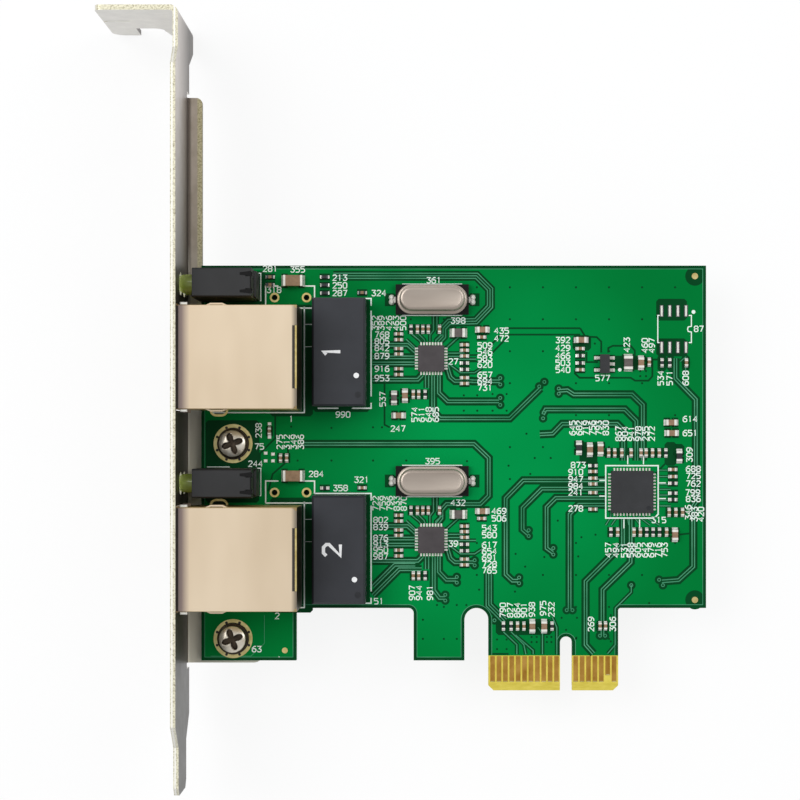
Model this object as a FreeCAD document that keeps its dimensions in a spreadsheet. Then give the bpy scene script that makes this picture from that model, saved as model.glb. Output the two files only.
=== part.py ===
"""Two-port network interface card for a short card-edge slot, in millimetres.

The card lies flat with its component side up (+Z).  X = 0 is the centre of the key
notch, Y = 0 is the lower edge of the card-edge tongue and Z = 0 is the middle of the
board's thickness.  The bracket stands across the board's left end.
"""
import FreeCAD, Part
import os
import re
import Sketcher

SIZES = {
    # Board outline: distances from the key notch and from the tongue's lower edge.
    "board_thickness": 1.57,
    "board_right": 21.9,
    "board_upper": 66.5,
    "shoulder_level": 12.93,
    "leg_level": 4.73,
    "near_leg_width": 14.85,
    "cutout_chamfer_x": 1.0,
    "cutout_chamfer_y": 0.7,
    "hook_left": 23.85,
    "hook_right": 15.9,
    "hook_fillet": 0.8,
    "tongue_left": 12.15,
    "tongue_right": 8.15,
    "tongue_corner": 0.8,
    "tongue_bevel_length": 1.2,
    "tongue_bevel_depth": 0.4,
    "key_width": 1.9,
    "key_depth": 8.47,
    # Gold edge contacts.
    "contact_pitch": 1.0,
    "contact_width": 0.7,
    "contact_low": 1.4,
    "contact_high": 5.4,
    "short_contact_low": 2.44,
    "first_contact": 1.5,
    "copper_thickness": 0.05,
    # Bracket, a folded steel strip.
    "bracket_thickness": 0.8,
    "bracket_inner": 59.4,
    "bracket_upper": 105.1,
    "bracket_length": 120.02,
    "bracket_width": 18.42,
    "component_margin": 1.07,
    "bend_outer": 1.2,
    "bend_inner": 0.4,
    "neck_step": 3.2,
    "neck_near_level": 98.75,
    "neck_near_slope": 3.0,
    "neck_width": 20.8,
    "neck_far_level": 101.2,
    "neck_far_slope": 2.7,
    "tab_length": 12.7,
    "tab_corner": 2.2,
    "tab_near_corner": 1.0,
    "screw_notch_width": 4.3,
    "screw_notch_depth": 5.8,
    "screw_notch_centre": 6.5,
    "screw_notch_round": 2.1,
    "tab_slit_length": 3.8,
    "tab_slit_width": 0.35,
    "tab_slit_place": 9.5,
    "foot_width": 10.19,
    "foot_shoulder": 3.9,
    "foot_taper": 3.6,
    "foot_corner": 1.2,
    "flange_width": 2.35,
    "flange_low": 4.24,
    "flange_high": 92.98,
    "flange_corner": 1.0,
    "relief_gap": 0.9,
    "screw_tab_reach": 4.7,
    "screw_tab_width": 8.4,
    "screw_tab_corner": 1.6,
    "window_gap": 0.2,
    # Bracket screws and the board's screw pads.
    "screw_inset": 7.3,
    "screw_drop": 13.05,
    "screw_hole": 3.2,
    "screw_head": 4.7,
    "screw_head_height": 1.9,
    "screw_head_round": 0.9,
    "screw_shank": 2.44,
    "screw_tab_hole": 2.5,
    "screw_length": 4.0,
    "recess_width": 0.95,
    "recess_span": 2.9,
    "recess_depth": 1.1,
    "screw_pad": 6.1,
    # Modular jacks.
    "port_level": 51.7,
    "port_pitch": 30.5,
    "jack_length": 18.9,
    "jack_width": 15.7,
    "jack_height": 13.4,
    "shield_thickness": 0.25,
    "shield_corner": 0.5,
    "jack_fit": 0.05,
    "socket_width": 11.7,
    "socket_floor": 4.5,
    "socket_roof": 2.0,
    "socket_depth": 12.6,
    "latch_width": 6.2,
    "latch_floor": 3.0,
    "catch_width": 3.3,
    "catch_floor": 2.3,
    "mouth_margin": 0.1,
    "rear_slot_width": 9.7,
    "rear_slot_length": 0.8,
    "leaf_start": 4.9,
    "leaf_length": 3.6,
    "leaf_bulge": 0.35,
    "leaf_drop": 2.8,
    "leaf_height": 1.5,
    "ground_tab_start": 1.0,
    "ground_tab_length": 1.2,
    "ground_tab_reach": 0.45,
    "ground_tab_level": 6.2,
    "leg_start": 5.1,
    "leg_width": 1.6,
    "leg_below": 3.1,
    "leg_slot_gap": 0.25,
    "peg_x": 9.0,
    "peg_spread": 5.3,
    "peg_radius": 1.55,
    "peg_gap": 0.06,
    "peg_below": 2.5,
    # Contact insert and contacts of the jacks.
    "comb_start": 4.7,
    "comb_thickness": 0.9,
    "insert_width": 10.2,
    "insert_front": 12.9,
    "insert_back": 17.5,
    "insert_bottom": 2.2,
    "rib_height": 0.45,
    "rib_width": 0.35,
    "rib_length": 6.0,
    "wire_width": 0.45,
    "wire_thickness": 0.3,
    "wire_gap": 0.05,
    "wire_count": 8,
    "wire_pitch": 1.02,
    "tail_pitch": 1.27,
    "tail_row": 2.54,
    "tail_below": 3.1,
    "tail_bend": 1.2,
    "tail_hole": 0.45,
    "wire_tip_x": 10.6,
    "wire_tip_drop": 2.6,
    # LED holders, each with two LEDs one above the other.
    "led_inset": 2.05,
    "led_rise": 11.4,
    "led_length": 9.0,
    "led_width": 4.45,
    "led_height": 10.8,
    "led_radius": 1.5,
    "led_bore_gap": 0.05,
    "led_low_level": 3.0,
    "led_high_level": 7.7,
    "led_body_length": 5.6,
    "led_recess": 0.15,
    "led_lead": 0.5,
    "led_lead_pitch": 2.54,
    "led_slot_depth": 0.9,
    "led_slot_width": 0.7,
    "led_window": 1.75,
    "led_lead_hole": 0.5,
    # Magnetics modules.
    "magnetics_space": 1.85,
    "magnetics_rise": 1.08,
    "magnetics_width": 8.2,
    "magnetics_length": 16.7,
    "magnetics_height": 6.0,
    "magnetics_gap": 0.25,
    "magnetics_edge": 0.3,
    "magnetics_lead_count": 12,
    "magnetics_lead_pitch": 1.27,
    "magnetics_lead_width": 0.45,
    "magnetics_lead_reach": 1.0,
    "magnetics_lead_level": 1.5,
    "lead_sheet": 0.2,
    # Crystals in metal cans on plastic bases.
    "crystal_shift": 0.15,
    "crystal_rise": 9.2,
    "crystal_base_length": 11.4,
    "crystal_base_width": 4.7,
    "crystal_base_height": 0.8,
    "crystal_rim_length": 11.0,
    "crystal_rim_width": 4.6,
    "crystal_rim_height": 0.35,
    "crystal_can_length": 10.2,
    "crystal_can_width": 3.75,
    "crystal_height": 4.1,
    "crystal_round": 0.5,
    "crystal_lead_span": 13.3,
    "crystal_lead_width": 0.9,
    # Flat chips.
    "lan_chip_inset": 38.3,
    "lan_chip_rise": 0.25,
    "lan_chip_pitch": 28.35,
    "lan_chip_side": 4.1,
    "bridge_chip_x": 10.3,
    "bridge_chip_y": 31.1,
    "bridge_chip_side": 6.6,
    "flat_chip_height": 0.85,
    "flat_chip_edge": 0.08,
    # Regulator with five leads.
    "regulator_x": 6.0,
    "regulator_y": 51.1,
    "regulator_width": 1.5,
    "regulator_length": 2.95,
    "regulator_height": 1.1,
    "regulator_gap": 0.1,
    "regulator_lead_pitch": 0.95,
    "regulator_lead_width": 0.4,
    "regulator_lead_reach": 0.65,
    # Chip capacitors, resistors and inductors: length, width, height and metal end.
    "small_chip_length": 1.0,
    "small_chip_width": 0.5,
    "small_capacitor_height": 0.5,
    "small_resistor_height": 0.35,
    "medium_chip_length": 1.6,
    "medium_chip_width": 0.85,
    "medium_capacitor_height": 0.8,
    "medium_resistor_height": 0.45,
    "medium_chip_end": 0.35,
    "port_chip_length": 3.0,
    "port_chip_width": 1.65,
    "port_chip_height": 1.2,
    "port_chip_end": 0.35,
    "inductor_length": 2.05,
    "inductor_width": 1.3,
    "inductor_height": 0.9,
    "inductor_end": 0.4,
    "end_proud": 0.02,
    # Bare lands of the eight-lead footprint, fiducials and test holes.
    "footprint_x": 14.95,
    "footprint_y": 56.55,
    "footprint_pitch": 1.27,
    "footprint_span": 5.7,
    "footprint_land_length": 1.85,
    "footprint_land_width": 0.62,
    "fiducial_radius": 0.5,
    "fiducial_x": 20.15,
    "fiducial_upper": 64.85,
    "fiducial_lower": 14.2,
    "test_hole_radius": 0.45,
    "test_hole_inset": 13.8,
    "test_hole_pitch": 5.0,
    "test_hole_rise": 9.8,
}

TOP = "board_thickness / 2"
BOTTOM = "-board_thickness / 2"
BRACKET_OUTER = "-(bracket_inner + bracket_thickness)"
BOARD_LEFT = "-(bracket_inner - flange_width)"
NEAR_LEG_RIGHT = BOARD_LEFT + " + near_leg_width"
BRACKET_NEAR = "board_thickness / 2 + jack_height + component_margin"
SCREW_X = "-(bracket_inner - screw_inset)"
JACK_FRONT = BRACKET_OUTER
CEILING = "(jack_height - socket_roof)"
LEAF_LOW = "(jack_height - leaf_drop)"
LED_FRONT = "-(bracket_inner - led_inset)"
LED_NOSE = "(led_inset + bracket_thickness - led_recess)"
MAGNETICS_X = JACK_FRONT + " + jack_length + magnetics_space + magnetics_width / 2"
LAN_CHIP_X = "-(bracket_inner - lan_chip_inset)"
PORTS = ("1", "2")
SMALL = 0.001

doc = FreeCAD.newDocument("network_interface_card")
sizes = doc.addObject("Spreadsheet::Sheet", "Sizes")
subparts = {}


# ---------------------------------------------------------------- sizes and expressions

def fill_sheet():
    """Write each size in the sheet, its name beside it."""
    for row, (name, value) in enumerate(SIZES.items(), start=1):
        sizes.set("A%d" % row, name)
        sizes.set("B%d" % row, str(value))
        sizes.setAlias("B%d" % row, name)
    doc.recompute()


def size(name):
    """The value of a named size, as a number."""
    return float(getattr(sizes, name))


def with_sheet(text):
    """Put the sheet's name before each size that an expression names."""
    def named(match):
        word = match.group(0)
        return "Sizes." + word if word in SIZES else word
    return re.sub(r"[a-z][a-z_0-9]*", named, str(text))


def bind(thing, prop, text):
    thing.setExpression(prop, with_sheet(text))


def place(thing, x, y, z):
    """Bind the position of an object, keeping its rotation."""
    for axis, text in zip("xyz", (x, y, z)):
        bind(thing, "Placement.Base." + axis, text)


def subpart(thing, label):
    """Name a finished sub-part; its file takes the same name."""
    thing.Label = label
    subparts[label] = thing
    return thing


# ---------------------------------------------------------------- primitives

def block(name, x, y, z, length, width, height):
    """A box with its low corner at x, y, z."""
    box = doc.addObject("Part::Box", name)
    bind(box, "Length", length)
    bind(box, "Width", width)
    bind(box, "Height", height)
    place(box, x, y, z)
    return box


def centred_block(name, x, y, z, length, width, height):
    """A box centred on x and y, standing on z."""
    low_x = "(%s) - (%s) / 2" % (x, length)
    low_y = "(%s) - (%s) / 2" % (y, width)
    return block(name, low_x, low_y, z, length, width, height)


def rod(name, x, y, z, radius, height):
    """An upright cylinder standing on z."""
    cylinder = doc.addObject("Part::Cylinder", name)
    bind(cylinder, "Radius", radius)
    bind(cylinder, "Height", height)
    place(cylinder, x, y, z)
    return cylinder


def prism(name, x, y, z, sides, radius, height):
    """An upright prism: a light stand-in for a small round hole or dot."""
    column = doc.addObject("Part::Prism", name)
    column.Polygon = sides
    bind(column, "Circumradius", radius)
    bind(column, "Height", height)
    place(column, x, y, z)
    return column


def fused(name, shapes):
    fusion = doc.addObject("Part::MultiFuse", name)
    fusion.Shapes = shapes
    fusion.Refine = True
    return fusion


def less(name, base, tool):
    cut = doc.addObject("Part::Cut", name)
    cut.Base = base
    cut.Tool = tool
    return cut


def group(name, shapes):
    """Separate solids kept together as one object."""
    compound = doc.addObject("Part::Compound", name)
    compound.Links = shapes
    return compound


def copy_of(pattern, name, x, y, z, turn=0):
    """A linked copy of a pattern piece, turned about Z and placed."""
    link = doc.addObject("App::Link", name)
    link.LinkedObject = pattern
    spin = FreeCAD.Rotation(FreeCAD.Vector(0, 0, 1), turn)
    link.Placement = FreeCAD.Placement(FreeCAD.Vector(0, 0, 0), spin)
    place(link, x, y, z)
    return link


def bent_strip(points, thickness, width):
    """A flat strip bent along points in XZ, with Y free to shift on straight runs."""
    normals = []
    for low, high in zip(points, points[1:]):
        run = FreeCAD.Vector(high[0] - low[0], 0, high[2] - low[2]).normalize()
        normals.append(FreeCAD.Vector(-run.z, 0, run.x))
    rings = []
    for index, point in enumerate(points):
        before = normals[max(index - 1, 0)]
        after = normals[min(index, len(normals) - 1)]
        mitre = (before + after) / (1 + before.dot(after)) * (thickness / 2)
        middle = FreeCAD.Vector(*point)
        side = FreeCAD.Vector(0, width / 2, 0)
        rings.append([middle + mitre - side, middle + mitre + side,
                      middle - mitre + side, middle - mitre - side])
    loops = [rings[0], rings[-1]]
    for low, high in zip(rings, rings[1:]):
        for corner in range(4):
            after = (corner + 1) % 4
            loops.append([low[corner], low[after], high[after], high[corner]])
    faces = [Part.Face(Part.makePolygon(loop + loop[:1])) for loop in loops]
    solid = Part.Solid(Part.makeShell(faces))
    if solid.Volume < 0:
        solid.reverse()
    return solid


def shaped(name, shape):
    """An object whose shape is worked out by this script."""
    feature = doc.addObject("Part::Feature", name)
    feature.Shape = shape
    return feature


# ---------------------------------------------------------------- bodies and sketches

def new_body(label):
    return doc.addObject("PartDesign::Body", label)


def sketch(body, role, offset="0"):
    """An empty sketch on one of the body's origin planes, moved along its normal."""
    plane = next(f for f in body.Origin.OriginFeatures if f.Role == role)
    drawing = body.newObject("Sketcher::SketchObject", body.Label + "_sketch")
    drawing.AttachmentSupport = [(plane, "")]
    drawing.MapMode = "FlatFace"
    bind(drawing, "AttachmentOffset.Base.z", offset)
    return drawing


def fix_point(drawing, geometry, position, x, y):
    """Fix a point of a sketch at two named distances from its origin."""
    for kind, text in (("DistanceX", x), ("DistanceY", y)):
        rule = Sketcher.Constraint(kind, -1, 1, geometry, position, 1.0)
        number = drawing.addConstraint(rule)
        bind(drawing, "Constraints[%d]" % number, text)


def polygon(drawing, corners):
    """A closed outline of straight lines through the corners, in order."""
    first = drawing.GeometryCount
    count = len(corners)
    turn = FreeCAD.Rotation(FreeCAD.Vector(0, 0, 1), 360.0 / count)
    start = FreeCAD.Vector(1, 0, 0)
    for _ in corners:
        end = turn.multVec(start)
        drawing.addGeometry(Part.LineSegment(start, end), False)
        start = end
    for index, (x, y) in enumerate(corners):
        line = first + index
        after = first + (index + 1) % count
        drawing.addConstraint(Sketcher.Constraint("Coincident", line, 2, after, 1))
        fix_point(drawing, line, 1, x, y)


def rectangle(drawing, x_low, y_low, x_high, y_high):
    polygon(drawing, [(x_low, y_low), (x_high, y_low), (x_high, y_high), (x_low, y_high)])


def circle(drawing, x, y, radius):
    ring = Part.Circle(FreeCAD.Vector(0, 0, 0), FreeCAD.Vector(0, 0, 1), 1.0)
    number = drawing.addGeometry(ring, False)
    fix_point(drawing, number, 3, x, y)
    rule = drawing.addConstraint(Sketcher.Constraint("Radius", number, 1.0))
    bind(drawing, "Constraints[%d]" % rule, radius)


def pad(body, drawing, length, reverse=False):
    feature = body.newObject("PartDesign::Pad", body.Label + "_pad")
    feature.Profile = drawing
    feature.Reversed = reverse
    bind(feature, "Length", length)
    doc.recompute()
    return feature


def pocket(body, drawing, length, reverse=False):
    """Cut a sketch into the body, and stop if it cuts nothing."""
    before = body.Shape.Volume
    feature = body.newObject("PartDesign::Pocket", body.Label + "_pocket")
    feature.Profile = drawing
    feature.Reversed = reverse
    bind(feature, "Length", length)
    doc.recompute()
    if body.Shape.Volume > before - SMALL:
        raise RuntimeError("a pocket of %s cuts nothing" % body.Label)
    return feature


def edges_at(shape, direction, places):
    """Names of the straight edges along a direction whose middles are at the places.

    Each place gives a number for each axis, or None where any number will do.
    """
    names = []
    for index, edge in enumerate(shape.Edges, start=1):
        if edge.Curve.TypeId != "Part::GeomLine":
            continue
        run = edge.lastVertex().Point - edge.firstVertex().Point
        if edge.Length < SMALL or abs(run.dot(direction)) < edge.Length * 0.999:
            continue
        middle = edge.CenterOfMass
        for spot in places:
            gaps = [abs(m - s) for m, s in zip(middle, spot) if s is not None]
            if max(gaps) < 0.01:
                names.append("Edge%d" % index)
                break
    return names


def fillet(body, direction, places, radius, kind="Fillet"):
    """Round or chamfer the body's edges at the places."""
    base = body.Tip
    names = edges_at(base.Shape, direction, places)
    if not names:
        raise RuntimeError("no edge to round on %s" % body.Label)
    feature = body.newObject("PartDesign::" + kind, body.Label + "_" + kind.lower())
    feature.Base = (base, names)
    bind(feature, "Radius" if kind == "Fillet" else "Size", radius)
    doc.recompute()
    if body.Shape.BoundBox.DiagonalLength > base.Shape.BoundBox.DiagonalLength + SMALL:
        raise RuntimeError("rounding an edge of %s failed" % body.Label)
    return feature


ALONG_X = FreeCAD.Vector(1, 0, 0)
ALONG_Y = FreeCAD.Vector(0, 1, 0)
ALONG_Z = FreeCAD.Vector(0, 0, 1)


# ---------------------------------------------------------------- places on the board

def port_y(port):
    """The level of a port's centre line."""
    return "port_level" if port == "1" else "port_level - port_pitch"


def lan_chip_y(port):
    rise = "port_level + lan_chip_rise"
    return rise if port == "1" else rise + " - lan_chip_pitch"


def wire_places():
    """Each jack contact: its offset in the socket, its tail's offset and its row."""
    count = int(size("wire_count"))
    middle = (count - 1) / 2
    return [(index - middle, index % 2) for index in range(count)]


def peg_hole_places(port):
    """Centres and radius of the two holes for a jack's pegs."""
    ways = ("%s - peg_spread" % port_y(port), "%s + peg_spread" % port_y(port))
    return [("%s + peg_x" % JACK_FRONT, y, "peg_radius + peg_gap") for y in ways]


def tail_hole_places(port):
    """Centres and radius of the holes for a jack's contacts."""
    front = "(%s)" % JACK_FRONT
    holes = []
    for offset, row in wire_places():
        x = "%s + insert_back + wire_gap + wire_thickness / 2 - %d * tail_row" % (front, row)
        y = "%s + (%s) * tail_pitch" % (port_y(port), offset)
        holes.append((x, y, "tail_hole"))
    return holes


def led_lead_x(level):
    """Where the leads of the lower (0) or upper (1) LED stand, from the holder's front."""
    lower = "led_body_length + led_lead"
    upper = "led_length - led_slot_depth / 2"
    return (lower, upper)[level]


def led_hole_places(port):
    holes = []
    for level in (0, 1):
        for side in (-1, 1):
            x = "%s + %s" % (LED_FRONT, led_lead_x(level))
            y = "%s + led_rise + (%d) * led_lead_pitch / 2" % (port_y(port), side)
            holes.append((x, y, "led_lead_hole"))
    return holes


def test_hole_places(port):
    y = "%s + test_hole_rise" % port_y(port)
    first = "-(bracket_inner - test_hole_inset)"
    xs = (first, first + " + test_hole_pitch")
    return [(x, y, "test_hole_radius") for x in xs]


# ---------------------------------------------------------------- circuit board

def make_circuit_board():
    board = new_body("board_blank")
    outline = sketch(board, "XY_Plane", BOTTOM)
    hook_round = "shoulder_level - (hook_right - tongue_left) / 2"
    key_round = "key_depth - key_width / 2"
    polygon(outline, [
        (BOARD_LEFT, "leg_level"),
        (NEAR_LEG_RIGHT, "leg_level"),
        (NEAR_LEG_RIGHT, "shoulder_level - cutout_chamfer_y"),
        (NEAR_LEG_RIGHT + " + cutout_chamfer_x", "shoulder_level"),
        ("-hook_left", "shoulder_level"),
        ("-hook_left", "leg_level"),
        ("-hook_right", "leg_level"),
        ("-hook_right", hook_round),
        ("-tongue_left", hook_round),
        ("-tongue_left", "0"),
        ("-key_width / 2", "0"),
        ("-key_width / 2", key_round),
        ("key_width / 2", key_round),
        ("key_width / 2", "0"),
        ("tongue_right", "0"),
        ("tongue_right", "shoulder_level"),
        ("board_right", "shoulder_level"),
        ("board_right", "board_upper"),
        (BOARD_LEFT, "board_upper"),
    ])
    pad(board, outline, "board_thickness")

    rounds = sketch(board, "XY_Plane", TOP)
    circle(rounds, "-(hook_right + tongue_left) / 2", hook_round, "(hook_right - tongue_left) / 2")
    circle(rounds, "0", key_round, "key_width / 2")
    pocket(board, rounds, "board_thickness")

    holes = sketch(board, "XY_Plane", TOP)
    for port in PORTS:
        for x, y, radius in peg_hole_places(port):
            circle(holes, x, y, radius)
        circle(holes, SCREW_X, "%s - screw_drop" % port_y(port), "screw_hole / 2")
        for side in (-1, 1):
            leg = "%s + (%d) * (jack_width / 2 - shield_thickness / 2)" % (port_y(port), side)
            x_low = "%s + leg_start - leg_slot_gap" % JACK_FRONT
            x_high = "%s + leg_start + leg_width + leg_slot_gap" % JACK_FRONT
            half = "(shield_thickness / 2 + leg_slot_gap)"
            rectangle(holes, x_low, leg + " - " + half, x_high, leg + " + " + half)
    pocket(board, holes, "board_thickness")

    bevels = sketch(board, "YZ_Plane", "-(tongue_left + 1)")
    for side in (-1, 1):
        face = "(%d) * board_thickness / 2" % side
        polygon(bevels, [
            ("-1", face + " - (%d) * tongue_bevel_depth * (1 + 1 / tongue_bevel_length)" % side),
            ("tongue_bevel_length", face),
            ("tongue_bevel_length", face + " + (%d)" % side),
            ("-1", face + " + (%d)" % side),
        ])
    pocket(board, bevels, "tongue_left + tongue_right + 2", reverse=True)

    shoulder = size("shoulder_level")
    fillet(board, ALONG_Z, [(-size("hook_left"), shoulder, 0)], "hook_fillet")
    tongue_corners = [(-size("tongue_left"), 0, 0), (size("tongue_right"), 0, 0)]
    fillet(board, ALONG_Z, tongue_corners, "tongue_corner", "Chamfer")
    fillet(board, ALONG_Z, [(size("tongue_right"), shoulder, 0)], "tongue_corner / 2")

    leads = []
    for port in PORTS:
        places = tail_hole_places(port) + led_hole_places(port) + test_hole_places(port)
        for x, y, radius in places:
            name = "lead_hole_%d" % len(leads)
            leads.append(prism(name, x, y, "-board_thickness", 8, radius, "2 * board_thickness"))
    return subpart(less("drilled_board", board, group("lead_holes", leads)), "circuit_board")


def make_edge_contacts(label, face, short_one):
    """Eighteen gold contacts on one face of the tongue; one of them is short.

    They are counted outwards from the key notch, eleven to its left and then seven to
    its right.
    """
    z = TOP if face > 0 else BOTTOM + " - copper_thickness"
    columns = [(-1, step) for step in range(11)] + [(1, step) for step in range(7)]
    strips = []
    for number, (side, step) in enumerate(columns):
        x = "(%d) * (first_contact + %d * contact_pitch)" % (side, step)
        low = "short_contact_low" if number == short_one else "contact_low"
        name = "%s_%d" % (label, number)
        strips.append(block(name, x + " - contact_width / 2", low, z, "contact_width",
                            "contact_high - " + low, "copper_thickness"))
    return subpart(group(label, strips), label)


# ---------------------------------------------------------------- bracket

def bracket_outline():
    """The flat face of the bracket: level along the card, then height."""
    near = BRACKET_NEAR
    far = near + " - bracket_width"
    neck_near = near + " - neck_step"
    neck_far = neck_near + " - neck_width"
    fold = "-board_thickness / 2 - bracket_thickness"
    relief = fold + " + bend_outer + bend_inner"
    middle = near + " - bracket_width / 2"
    foot = "bracket_upper - bracket_length"
    return [
        ("bracket_upper", neck_near),
        ("neck_near_level", neck_near),
        ("neck_near_level - neck_near_slope", near),
        ("-foot_shoulder", near),
        ("-foot_shoulder - foot_taper", middle + " + foot_width / 2"),
        (foot, middle + " + foot_width / 2"),
        (foot, middle + " - foot_width / 2"),
        ("-foot_shoulder - foot_taper", middle + " - foot_width / 2"),
        ("-foot_shoulder", far),
        ("flange_low - relief_gap", far),
        ("flange_low - relief_gap", relief),
        ("flange_low", relief),
        ("flange_low", fold),
        ("flange_high", fold),
        ("flange_high", relief),
        ("flange_high + relief_gap", relief),
        ("flange_high + relief_gap", far),
        ("neck_far_level - neck_far_slope", far),
        ("neck_far_level", neck_far),
        ("bracket_upper", neck_far),
    ]


def screw_level(port):
    return "%s - screw_drop" % port_y(port)


def make_bracket():
    bracket = new_body("bracket")
    face = sketch(bracket, "YZ_Plane", BRACKET_OUTER)
    polygon(face, bracket_outline())
    pad(bracket, face, "bracket_thickness")

    neck_near = BRACKET_NEAR + " - neck_step"
    neck_far = neck_near + " - neck_width"
    tab_end = BRACKET_OUTER + " + bracket_thickness - tab_length"
    top_tab = sketch(bracket, "XZ_Plane", "-bracket_upper")
    rectangle(top_tab, tab_end, neck_far, "-bracket_inner", neck_near)
    pad(bracket, top_tab, "bracket_thickness")

    flange = sketch(bracket, "XY_Plane", BOTTOM)
    rectangle(flange, BRACKET_OUTER, "flange_low", "-bracket_inner + flange_width", "flange_high")
    pad(bracket, flange, "bracket_thickness", reverse=True)
    for port in PORTS:
        tab = sketch(bracket, "XY_Plane", BOTTOM)
        low = "max(flange_low; %s - screw_tab_width / 2)" % screw_level(port)
        rectangle(tab, "-bracket_inner", low, SCREW_X + " + screw_tab_reach",
                  "%s + screw_tab_width / 2" % screw_level(port))
        pad(bracket, tab, "bracket_thickness", reverse=True)

    upper = size("bracket_upper")
    inner = -size("bracket_inner")
    outer = inner - size("bracket_thickness")
    fold = -size("board_thickness") / 2 - size("bracket_thickness")
    fillet(bracket, ALONG_Z, [(inner, upper, None)], "bend_outer")
    inside = upper - size("bracket_thickness")
    fillet(bracket, ALONG_Z, [(outer, inside, None)], "bend_inner")
    fillet(bracket, ALONG_Y, [(outer, None, fold)], "bend_outer")
    fillet(bracket, ALONG_Y, [(inner, None, -size("board_thickness") / 2)], "bend_inner")

    cut_bracket_windows(bracket)
    cut_bracket_tab(bracket, tab_end, neck_far)
    round_bracket_corners(bracket)
    return subpart(bracket, "bracket")


def cut_bracket_windows(bracket):
    """Windows for the jacks and LEDs in the face, threaded holes in the screw tabs."""
    windows = sketch(bracket, "YZ_Plane", "-bracket_inner")
    for port in PORTS:
        half = "(jack_width / 2 + window_gap)"
        rectangle(windows, port_y(port) + " - " + half, TOP + " - window_gap",
                  port_y(port) + " + " + half, TOP + " + jack_height + window_gap")
        for level in ("led_low_level", "led_high_level"):
            circle(windows, port_y(port) + " + led_rise", TOP + " + " + level, "led_window")
    pocket(bracket, windows, "bracket_thickness")
    threads = sketch(bracket, "XY_Plane", BOTTOM)
    for port in PORTS:
        circle(threads, SCREW_X, screw_level(port), "screw_tab_hole / 2")
    pocket(bracket, threads, "bracket_thickness + 0.1")


def cut_bracket_tab(bracket, tab_end, neck_far):
    """The open screw notch and the short slit of the top tab."""
    notch = sketch(bracket, "XZ_Plane", "-bracket_upper + bracket_thickness")
    middle = "%s + screw_notch_centre" % tab_end
    left = middle + " - screw_notch_width / 2"
    right = middle + " + screw_notch_width / 2"
    ceiling = neck_far + " + screw_notch_depth"
    polygon(notch, [
        (left, neck_far + " - 1"),
        (right + " + screw_notch_round / 4", neck_far + " - 1"),
        (right + " + screw_notch_round / 4", neck_far + " + 0.6"),
        (right, neck_far + " + screw_notch_depth - screw_notch_round"),
        (right, ceiling),
        (left, ceiling),
    ])
    pocket(bracket, notch, "bracket_thickness")
    slit = sketch(bracket, "XZ_Plane", "-bracket_upper + bracket_thickness")
    level = BRACKET_NEAR + " - neck_step - tab_slit_place"
    rectangle(slit, tab_end + " - 1", level, tab_end + " + tab_slit_length",
              level + " + tab_slit_width")
    pocket(bracket, slit, "bracket_thickness")


def round_bracket_corners(bracket):
    near = size("board_thickness") / 2 + size("jack_height") + size("component_margin")
    neck_near = near - size("neck_step")
    neck_far = neck_near - size("neck_width")
    tab_end = -size("bracket_inner") - size("tab_length")
    notch_right = tab_end + size("screw_notch_centre") + size("screw_notch_width") / 2
    ceiling = neck_far + size("screw_notch_depth")
    fillet(bracket, ALONG_Y, [(tab_end, None, neck_far)], "tab_corner")
    fillet(bracket, ALONG_Y, [(tab_end, None, neck_near)], "tab_near_corner")
    fillet(bracket, ALONG_Y, [(notch_right, None, ceiling)], "screw_notch_round * 0.8")
    foot = size("bracket_upper") - size("bracket_length")
    middle = near - size("bracket_width") / 2
    corners = [(None, foot, middle + side * size("foot_width") / 2) for side in (-1, 1)]
    fillet(bracket, ALONG_X, corners, "foot_corner", "Chamfer")
    flange_end = -size("bracket_inner") + size("flange_width")
    fillet(bracket, ALONG_Z, [(flange_end, size("flange_high"), None)], "flange_corner")
    reach = size("screw_inset") - size("bracket_inner") + size("screw_tab_reach")
    tab_corners = []
    for port_level in (size("port_level"), size("port_level") - size("port_pitch")):
        level = port_level - size("screw_drop")
        low = max(size("flange_low"), level - size("screw_tab_width") / 2)
        tab_corners.append((reach, low, None))
        tab_corners.append((reach, level + size("screw_tab_width") / 2, None))
    fillet(bracket, ALONG_Z, tab_corners, "screw_tab_corner")


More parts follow.
